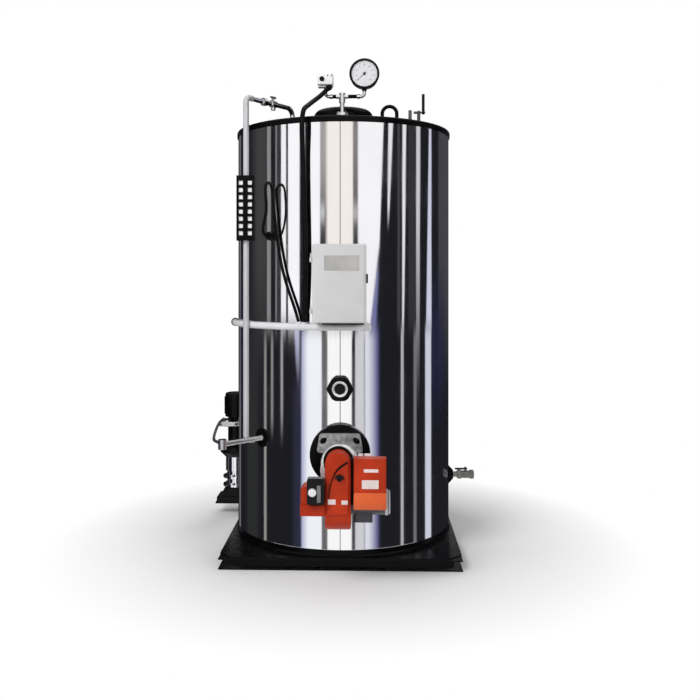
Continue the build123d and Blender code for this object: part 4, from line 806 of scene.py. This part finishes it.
# Feed line: a black boss welded to the jacket and a plain steel pipe screwed into it, up to an elbow.
# From the elbow a rubber hose in a braid of steel wire goes round to the pump.
dress(black_enamel, "feed_boss")
dress(pipe_steel, "feed_pipe")
hose_braid = finish(
    "hose_braid", ((0.07, 0.07, 0.075), (0.22, 0.22, 0.23)), (0.3, 0.45), (900, 0.0004), metal=0.7, patch=240
)
hose_route = [
    (-0.5388, -0.5357, 0.5640), (-0.5530, -0.5084, 0.5630), (-0.5739, -0.4549, 0.5580),
    (-0.5971, -0.3644, 0.5470), (-0.6195, -0.2393, 0.5350), (-0.6398, -0.1000, 0.5290),
    (-0.6567, 0.0499, 0.5300), (-0.6675, 0.1800, 0.5330), (-0.6715, 0.2652, 0.5330),
    (-0.6630, 0.3304, 0.5290), (-0.6420, 0.3840, 0.5240),
]
feed_lead = cord_piece("feed_hose_line", hose_route, 0.007, hose_braid, "feed_hose")

# Feed pump: a cast foot, a flanged lower body, a bright stage column, a head, a stool and a motor.
# The castings are sprayed black and the column is a polished sleeve; bolts hold the two flanges.
# The motor has cast fins all round and a flat cap.
pump_black = finish(
    "pump_black", ((0.0012, 0.0012, 0.0015), (0.004, 0.004, 0.0045)), (0.3, 0.44), (320, 0.0002),
    shine=0.14, patch=11,
)
dress(pump_black, "pump_foot", "pump_head", "pump_motor")
dress(chrome, "pump_column")
dress(pipe_steel, "pump_inlet")
pump_axis = Vector((-0.619, 0.448, 0))
bolt_circle = 0.058
bm = bmesh.new()
for bolt_z in (0.157, 0.203):
    for corner in range(6):
        swing = math.radians(30 + 60 * corner)
        bolt = pump_axis + Vector((bolt_circle * math.cos(swing), bolt_circle * math.sin(swing), bolt_z))
        hexagon(bm, 0.006, 0.005, Matrix.Translation(bolt), 0.0006)
settle(bm, "pump_bolts", pump_black)
fin_count, fin_radius, fin_z, fin_size = 24, 0.0575, 0.594, (0.009, 0.003, 0.096)
motor_cap = [(0.0, 0.6655), (0.03, 0.6655), (0.0385, 0.664), (0.0385, 0.660), (0.0, 0.660)]
bm = bmesh.new()
for fin in range(fin_count):
    swing = Matrix.Rotation(math.tau * fin / fin_count, 4, "Z")
    to = Matrix.Translation(pump_axis) @ swing @ Matrix.Translation((fin_radius, 0, fin_z))
    bmesh.ops.create_cube(bm, size=1, matrix=to @ Matrix.Diagonal((*fin_size, 1)))
turn(bm, motor_cap, Matrix.Translation(pump_axis), 64)
settle(bm, "pump_motor_fins", pump_black)

# Drain: a black cone welded to the jacket's right side, and a nickel plated ball valve screwed into it.
# The valve has a hexagon at each end for the spanner, and a lever in a black plastic sleeve.
dress(black_enamel, "drain_boss")
valve_nickel = finish(
    "valve_nickel", ((0.12, 0.12, 0.113), (0.24, 0.24, 0.228)), (0.26, 0.4), (300, 0.0001), metal=0.9, patch=20
)
dress(valve_nickel, "drain_valve")
dress(black_plastic, "drain_valve_lever")
drain_z, hexagon_corner, hexagon_bore, hexagon_length = 0.312, 0.0235, 0.0188, 0.018
bm = bmesh.new()
for start in (0.577, 0.638):
    made = bmesh.ops.create_cone(
        bm, cap_ends=False, segments=6, radius1=hexagon_corner, radius2=hexagon_corner, depth=hexagon_length,
        matrix=spot((start + hexagon_length / 2, 0, drain_z), rightward),
    )
    edges = [e for e in {e for v in made["verts"] for e in v.link_edges} if e.is_boundary]
    grown = bmesh.ops.extrude_edge_only(bm, edges=edges)
    for v in points_of(grown["geom"]):
        radial = Vector((0, v.co.y, v.co.z - drain_z))
        v.co = Vector((v.co.x, 0, drain_z)) + radial.normalized() * hexagon_bore
settle(bm, "drain_hexagons", valve_nickel)

# Vent valve and stub on the top plate: a small steel ball valve, and a capped nipple beside it.
# Both are screwed into sockets in the plate; the valve's lever has a black plastic sleeve.
dress(dark_steel, "vent_valve_body", "vent_stub")
dress(black_plastic, "vent_valve_lever")

# Studio: a pale floor that runs into a white background, and large soft lamps.
# A dark drape and glowing cards stand all round, far off, for the polished jacket to mirror.
# None of it belongs to the boiler.
scene = bpy.context.scene
scene.view_settings.view_transform = "Standard"


def bare_nodes(owner):
    """Empty an owner's shader, ready for nodes of its own."""
    owner.use_nodes = True
    owner.node_tree.nodes.clear()
    return owner.node_tree.nodes, owner.node_tree.links


def combine(nodes, links, operation, first, second):
    """Work two values into one."""
    made = nodes.new("ShaderNodeMath")
    made.operation = operation
    links.new(first, made.inputs[0])
    links.new(second, made.inputs[1])
    return made.outputs["Value"]


def mix_out(nodes, links, mask, first, second, end="ShaderNodeOutputMaterial"):
    """Mix two shaders by a mask, and put the mix out."""
    mixed = nodes.new("ShaderNodeMixShader")
    links.new(mask, mixed.inputs["Fac"])
    links.new(first, mixed.inputs[1])
    links.new(second, mixed.inputs[2])
    links.new(mixed.outputs["Shader"], nodes.new(end).inputs["Surface"])


def stage_piece(name, bm, material):
    """A piece of the studio."""
    mesh = bpy.data.meshes.new(name)
    bm.to_mesh(mesh)
    bm.free()
    mesh.materials.append(material)
    piece = bpy.data.objects.new(name, mesh)
    scene.collection.objects.link(piece)
    return piece


def mirrored_only(piece):
    """Let a piece of the studio show in polish alone."""
    piece.visible_camera = False
    piece.visible_diffuse = False
    piece.visible_shadow = False


white = (1, 1, 1, 1)
floor_radius, shadow_reach, white_from = 14, 0.72, 1.45
floor_paint = bpy.data.materials.new("studio_floor_white")
nodes, links = bare_nodes(floor_paint)
place = nodes.new("ShaderNodeTexCoord")
reach = nodes.new("ShaderNodeVectorMath")
reach.operation = "LENGTH"
links.new(place.outputs["Object"], reach.inputs[0])
fade = nodes.new("ShaderNodeMapRange")
fade.inputs["From Min"].default_value = shadow_reach
fade.inputs["From Max"].default_value = white_from
links.new(reach.outputs["Value"], fade.inputs["Value"])
matte = nodes.new("ShaderNodeBsdfDiffuse")
matte.inputs["Color"].default_value = (0.9, 0.9, 0.9, 1)
glow = nodes.new("ShaderNodeEmission")
glow.inputs["Color"].default_value = white
seen = nodes.new("ShaderNodeLightPath").outputs
by_camera = combine(nodes, links, "MULTIPLY", fade.outputs["Result"], seen["Is Camera Ray"])
mix_out(nodes, links, by_camera, matte.outputs["BSDF"], glow.outputs["Emission"])
bm = bmesh.new()
bmesh.ops.create_circle(bm, cap_ends=True, segments=96, radius=floor_radius)
floor = stage_piece("studio_floor", bm, floor_paint)
floor.visible_glossy = False

scene.world = bpy.data.worlds.new("studio_white")
nodes, links = bare_nodes(scene.world)
shown = nodes.new("ShaderNodeBackground")
shown.inputs["Color"].default_value = white
lit = nodes.new("ShaderNodeBackground")
lit.inputs["Color"].default_value = white
lit.inputs["Strength"].default_value = 0.3
seen = nodes.new("ShaderNodeLightPath").outputs
either = combine(nodes, links, "MAXIMUM", seen["Is Camera Ray"], seen["Is Glossy Ray"])
any_of = combine(nodes, links, "MAXIMUM", either, seen["Is Transmission Ray"])
mix_out(nodes, links, any_of, lit.outputs["Background"], shown.outputs["Background"], "ShaderNodeOutputWorld")

# Soft edge of a card, from its own across and up places
card_edges = (("Left", "X", 0), ("Right", "X", 1), ("Low", "Y", 0), ("High", "Y", 1))
soft_card, entry, leave = start_group("soft_card", [(edge, number) for edge, _, _ in card_edges], "Mask", number)
where = soft_card.nodes.new("ShaderNodeAttribute")
where.attribute_name = "across_up"
parts = soft_card.nodes.new("ShaderNodeSeparateXYZ")
soft_card.links.new(where.outputs["Vector"], parts.inputs["Vector"])
mask = None
for edge, axis, outer in card_edges:
    ramp = soft_card.nodes.new("ShaderNodeMapRange")
    ramp.interpolation_type = "SMOOTHSTEP"
    ramp.inputs["From Min"].default_value = outer
    soft_card.links.new(entry.outputs[edge], ramp.inputs["From Max"])
    soft_card.links.new(parts.outputs[axis], ramp.inputs["Value"])
    shade = ramp.outputs["Result"]
    mask = shade if mask is None else combine(soft_card.nodes, soft_card.links, "MULTIPLY", mask, shade)
soft_card.links.new(mask, leave.inputs["Mask"])


def studio_card(name, colour, sides, span, soft, fade, reach=7.8):
    """A glowing card; its sides, at the foot and at the head, are degrees from the front."""
    below, above = sides[:2], sides[-2:]
    width, height = below[1] - below[0], span[1] - span[0]
    glow = bpy.data.materials.new(name)
    nodes, links = bare_nodes(glow)
    glow.cycles.emission_sampling = "NONE"
    light = nodes.new("ShaderNodeEmission")
    light.inputs["Color"].default_value = (*colour, 1)
    clear = nodes.new("ShaderNodeBsdfTransparent")
    mask = nodes.new("ShaderNodeGroup")
    mask.node_tree = soft_card
    mask.inputs["Left"].default_value = soft[0] / width
    mask.inputs["Right"].default_value = 1 - soft[1] / width
    mask.inputs["Low"].default_value = fade[0] / height
    mask.inputs["High"].default_value = 1 - fade[1] / height
    mix_out(nodes, links, mask.outputs["Mask"], clear.outputs["BSDF"], light.outputs["Emission"])
    bm = bmesh.new()
    across_up = bm.verts.layers.float_vector.new("across_up")
    bmesh.ops.create_grid(bm, x_segments=max(2, round(width / 4)), y_segments=4, size=0.5)
    for v in bm.verts:
        across, up = v.co.x + 0.5, v.co.y + 0.5
        v[across_up] = (across, up, 0)
        lower = below[0] + (below[1] - below[0]) * across
        upper = above[0] + (above[1] - above[0]) * across
        way = math.radians(lower + (upper - lower) * up)
        v.co = (reach * math.sin(way), -reach * math.cos(way), span[0] + height * up)
    mirrored_only(stage_piece(name, bm, glow))


hard = (0.0001, 0.0001)
drape_reach, drape_foot, drape_head = 8.4, -8, 9
upper, lower, whole_height = (0.45, drape_head), (drape_foot, 0.8), (drape_foot, drape_head)
studio_card("drape", (0.014, 0.014, 0.018), (-180, 180), whole_height, hard, hard, drape_reach)
for card in (
    ("gloom_left", (0.06, 0.06, 0.06), (-118, -85), (-0.6, 9), (22, 2), (2.4, 0.1)),
    ("streak_left_a", (0.3, 0.3, 0.3), (-85, -78.5), upper, (1, 1), (0.4, 0.1)),
    ("streak_left_b", (0.24, 0.24, 0.24), (-73, -70), upper, (0.8, 0.8), (0.4, 0.1)),
    ("gloom_left_b", (0.045, 0.045, 0.045), (-70, -66), upper, (1, 1), (0.4, 0.1)),
    ("strip_left_a", (1.08, 1.08, 1.08), (-65.6, -58.8), upper, (0.7, 0.7), (0.5, 0.1)),
    ("strip_left_b", (1.15, 1.15, 1.16), (-57, -43, -57, -42.5), upper, (0.6, 1.4), (0.5, 0.1)),
    ("slit_left", (0.85, 0.85, 0.88), (-38.2, -37.6, -39.2, -37.2), (1.3, 9), (0.3, 0.3), (0.8, 0.1)),
    ("panel_left", (1.14, 1.13, 1.13), (-34.5, -21.5), upper, (1.5, 1), (0.4, 0.1)),
    ("panel_middle", (1.09, 1.03, 0.96), (-17.5, 11.5), upper, (4, 1), (0.4, 0.1)),
    ("bridge_left", (0.7, 0.7, 0.7), (-22, -17), (1.95, 2.35), (0.5, 0.5), (0.2, 0.2)),
    ("bridge_right", (0.62, 0.6, 0.58), (11, 16), (1.95, 2.35), (0.5, 0.5), (0.2, 0.2)),
    ("panel_right_high", (1.11, 1.1, 1.1), (15.5, 44), (3.6, 9), (1, 1), hard),
    ("panel_right_top", (1.11, 1.1, 1.1), (15.5, 38.6, 15.5, 44), (1.7, 3.6), (1, 1), hard),
    ("panel_right_foot", (1.11, 1.1, 1.11), (15.5, 27, 15.5, 38.6), (0.5, 1.7), (1, 1), (0.3, 0.0001)),
    ("violet_taper", (0.2, 0.2, 0.42), (26, 35.5, 37, 38.8), (0.5, 1.6), (0.5, 3), (0.3, 0.3)),
    ("wedge_right", (0.95, 0.95, 0.95), (46.6, 48.2, 47.4, 54.4), (1.9, 3.5), (0.3, 0.3), (0.4, 0.001)),
    ("gloom_right", (0.07, 0.07, 0.072), (57.5, 62), upper, (1.5, 1.5), (0.4, 0.1)),
    ("strip_right_a", (0.96, 0.94, 0.94), (63.4, 66, 63.4, 77), upper, (0.7, 0.7), (0.4, 0.1)),
    ("gloom_right_b", (0.04, 0.04, 0.042), (71, 81), upper, (1, 1), (0.4, 0.1)),
    ("strip_right_b", (0.7, 0.7, 0.73), (81.5, 87, 81.5, 91), (-0.6, 9), (1, 1), (3.2, 0.1)),
    ("lilac_high", (0.58, 0.57, 0.8), (102.5, 106.5), (3.6, 9), (1, 1), hard),
    ("lilac_right", (0.72, 0.72, 0.87), (96.5, 107.3, 102.5, 106.5), (0.45, 3.6), (1.2, 1), (0.4, 0.0001)),
    ("edge_right", (0.065, 0.065, 0.075), (119, 165), (-0.6, 9), (5, 9), (2.4, 0.1)),
    ("low_violet_left", (0.02, 0.019, 0.05), (-155, -130), (-0.9, 1.8), (8, 14), (1.2, 1.4)),
    ("low_gloom_left", (0.03, 0.031, 0.031), (-128, -92), (-8, 1.8), (12, 12), (0.1, 2.4)),
    ("low_streak_a", (0.36, 0.35, 0.33), (-89.4, -84.8), lower, (1, 1), (0.1, 0.4)),
    ("low_streak_b", (0.3, 0.29, 0.28), (-79.2, -75), (-0.8, 0.8), (1, 1), (0.3, 0.4)),
    ("low_streak_c", (0.44, 0.44, 0.44), (-66, -62.6), (-0.9, 0.8), (0.7, 0.7), (0.6, 0.4)),
    ("low_wedge_left", (0.55, 0.55, 0.74), (-46, -43, -52, -42.5), (-0.2, 0.8), (1, 1), (0.8, 0.2)),
    ("low_blue_left", (0.03, 0.03, 0.06), (-55, -41), (-8, 0.2), (8, 1), (0.1, 0.6)),
    ("low_lilac_left", (0.52, 0.54, 0.76), (-42.8, -33), lower, (2.5, 1), (0.1, 0.3)),
    ("low_panel_right", (0.74, 0.74, 0.75), (12.8, 22.4), lower, (0.8, 0.8), (0.1, 0.3)),
    ("low_lilac_right", (0.86, 0.87, 0.97), (23, 38), lower, (0.8, 13), (0.1, 0.3)),
    ("low_panel_middle", (1.15, 1.15, 1.12), (-15, 10.2), lower, (1, 0.8), (0.1, 0.3)),
    ("low_streak_d", (0.55, 0.55, 0.55), (61.8, 66), lower, (1, 1), (0.1, 0.3)),
    ("low_streak_e", (0.2, 0.2, 0.2), (78, 83), lower, (1, 1), (0.1, 0.3)),
    ("low_lilac_edge", (0.72, 0.72, 0.82), (95, 106.5), lower, (1.5, 1), (0.1, 0.3)),
    ("low_violet_right", (0.02, 0.02, 0.052), (107, 150), (-0.9, 1.8), (1, 26), (1.2, 1.4)),
    ("rear_panel_a", (0.9, 0.9, 0.92), (170.5, 178.5), whole_height, (0.5, 0.5), hard),
    ("rear_panel_b", (0.86, 0.85, 0.83), (181, 189.3), whole_height, (0.5, 0.5), hard),
    ("rear_strip", (0.17, 0.17, 0.19), (208, 217), whole_height, (1, 1), hard),
):
    studio_card(*card)
nearer, farther = 7.6, 8.1
for card in (
    ("low_panel_left", (1.07, 1.09, 1.12), (-42, -19.8), lower, (9, 1), (0.1, 0.3), nearer),
    ("low_violet_taper", (0.11, 0.1, 0.27), (29, 40), lower, (2, 5), (0.3, 0.3), farther),
    ("low_fill_left", (0.15, 0.15, 0.15), (-23, -12), lower, (1, 1), (0.3, 0.3), farther),
    ("low_fill_right", (0.4, 0.4, 0.41), (19, 26), lower, (1, 1), (0.3, 0.3), farther),
    ("fill_left", (0.42, 0.41, 0.4), (-25, -14), (1.6, 9), (1, 1), (1.4, 0.3), farther),
    ("fill_right", (0.24, 0.23, 0.22), (9, 18), (1.6, 9), (1, 1), (1.4, 0.3), farther),
):
    studio_card(*card)
pit_floor = Matrix.Translation((0, 0, drape_foot))
bm = bmesh.new()
bmesh.ops.create_circle(bm, cap_ends=True, segments=48, radius=drape_reach, matrix=pit_floor)
mirrored_only(stage_piece("studio_pit", bm, bpy.data.materials["drape"]))
slim_nodes = ("level_pipe", "level_guard", "level_crossover", "feed_pipe", "feed_boss", *base_nodes)
slim_pieces = ("feed_hose_line", "guard_backing", "base_ring_weld")
for piece in [cad[name] for name in slim_nodes] + [bpy.data.objects[name] for name in slim_pieces]:
    piece.visible_glossy = False

lamp_aim = Vector((0, 0, 1.0))
for name, place, size, power in (
    ("key_lamp", (-2.3, -3.6, 4.0), 2.2, 155),
    ("fill_lamp", (3.2, -3.2, 2.6), 2.4, 40),
    ("back_lamp", (0.5, 3.6, 4.2), 2.4, 46),
):
    lamp = bpy.data.lights.new(name, "AREA")
    lamp.energy = power
    lamp.size = size
    carrier = bpy.data.objects.new(name, lamp)
    carrier.location = place
    carrier.rotation_euler = (lamp_aim - Vector(place)).to_track_quat("-Z", "Y").to_euler()
    carrier.visible_glossy = False
    scene.collection.objects.link(carrier)

# Camera: it stands in front of the boiler, a little to the right, at the height of the control box.
# Its shift puts the boiler where the photograph has it.
camera_reach, camera_height, camera_swing = 4.412, 1.3, 0.028
view = bpy.data.cameras.new("photo_camera")
view.sensor_width = 36
view.lens = 44.64
view.shift_x = 0.0093
view.shift_y = -0.1014
camera = bpy.data.objects.new("photo_camera", view)
camera.location = (camera_reach * math.sin(camera_swing), -camera_reach * math.cos(camera_swing), camera_height)
camera.rotation_euler = (math.radians(90), 0, camera_swing)
scene.collection.objects.link(camera)
scene.camera = camera
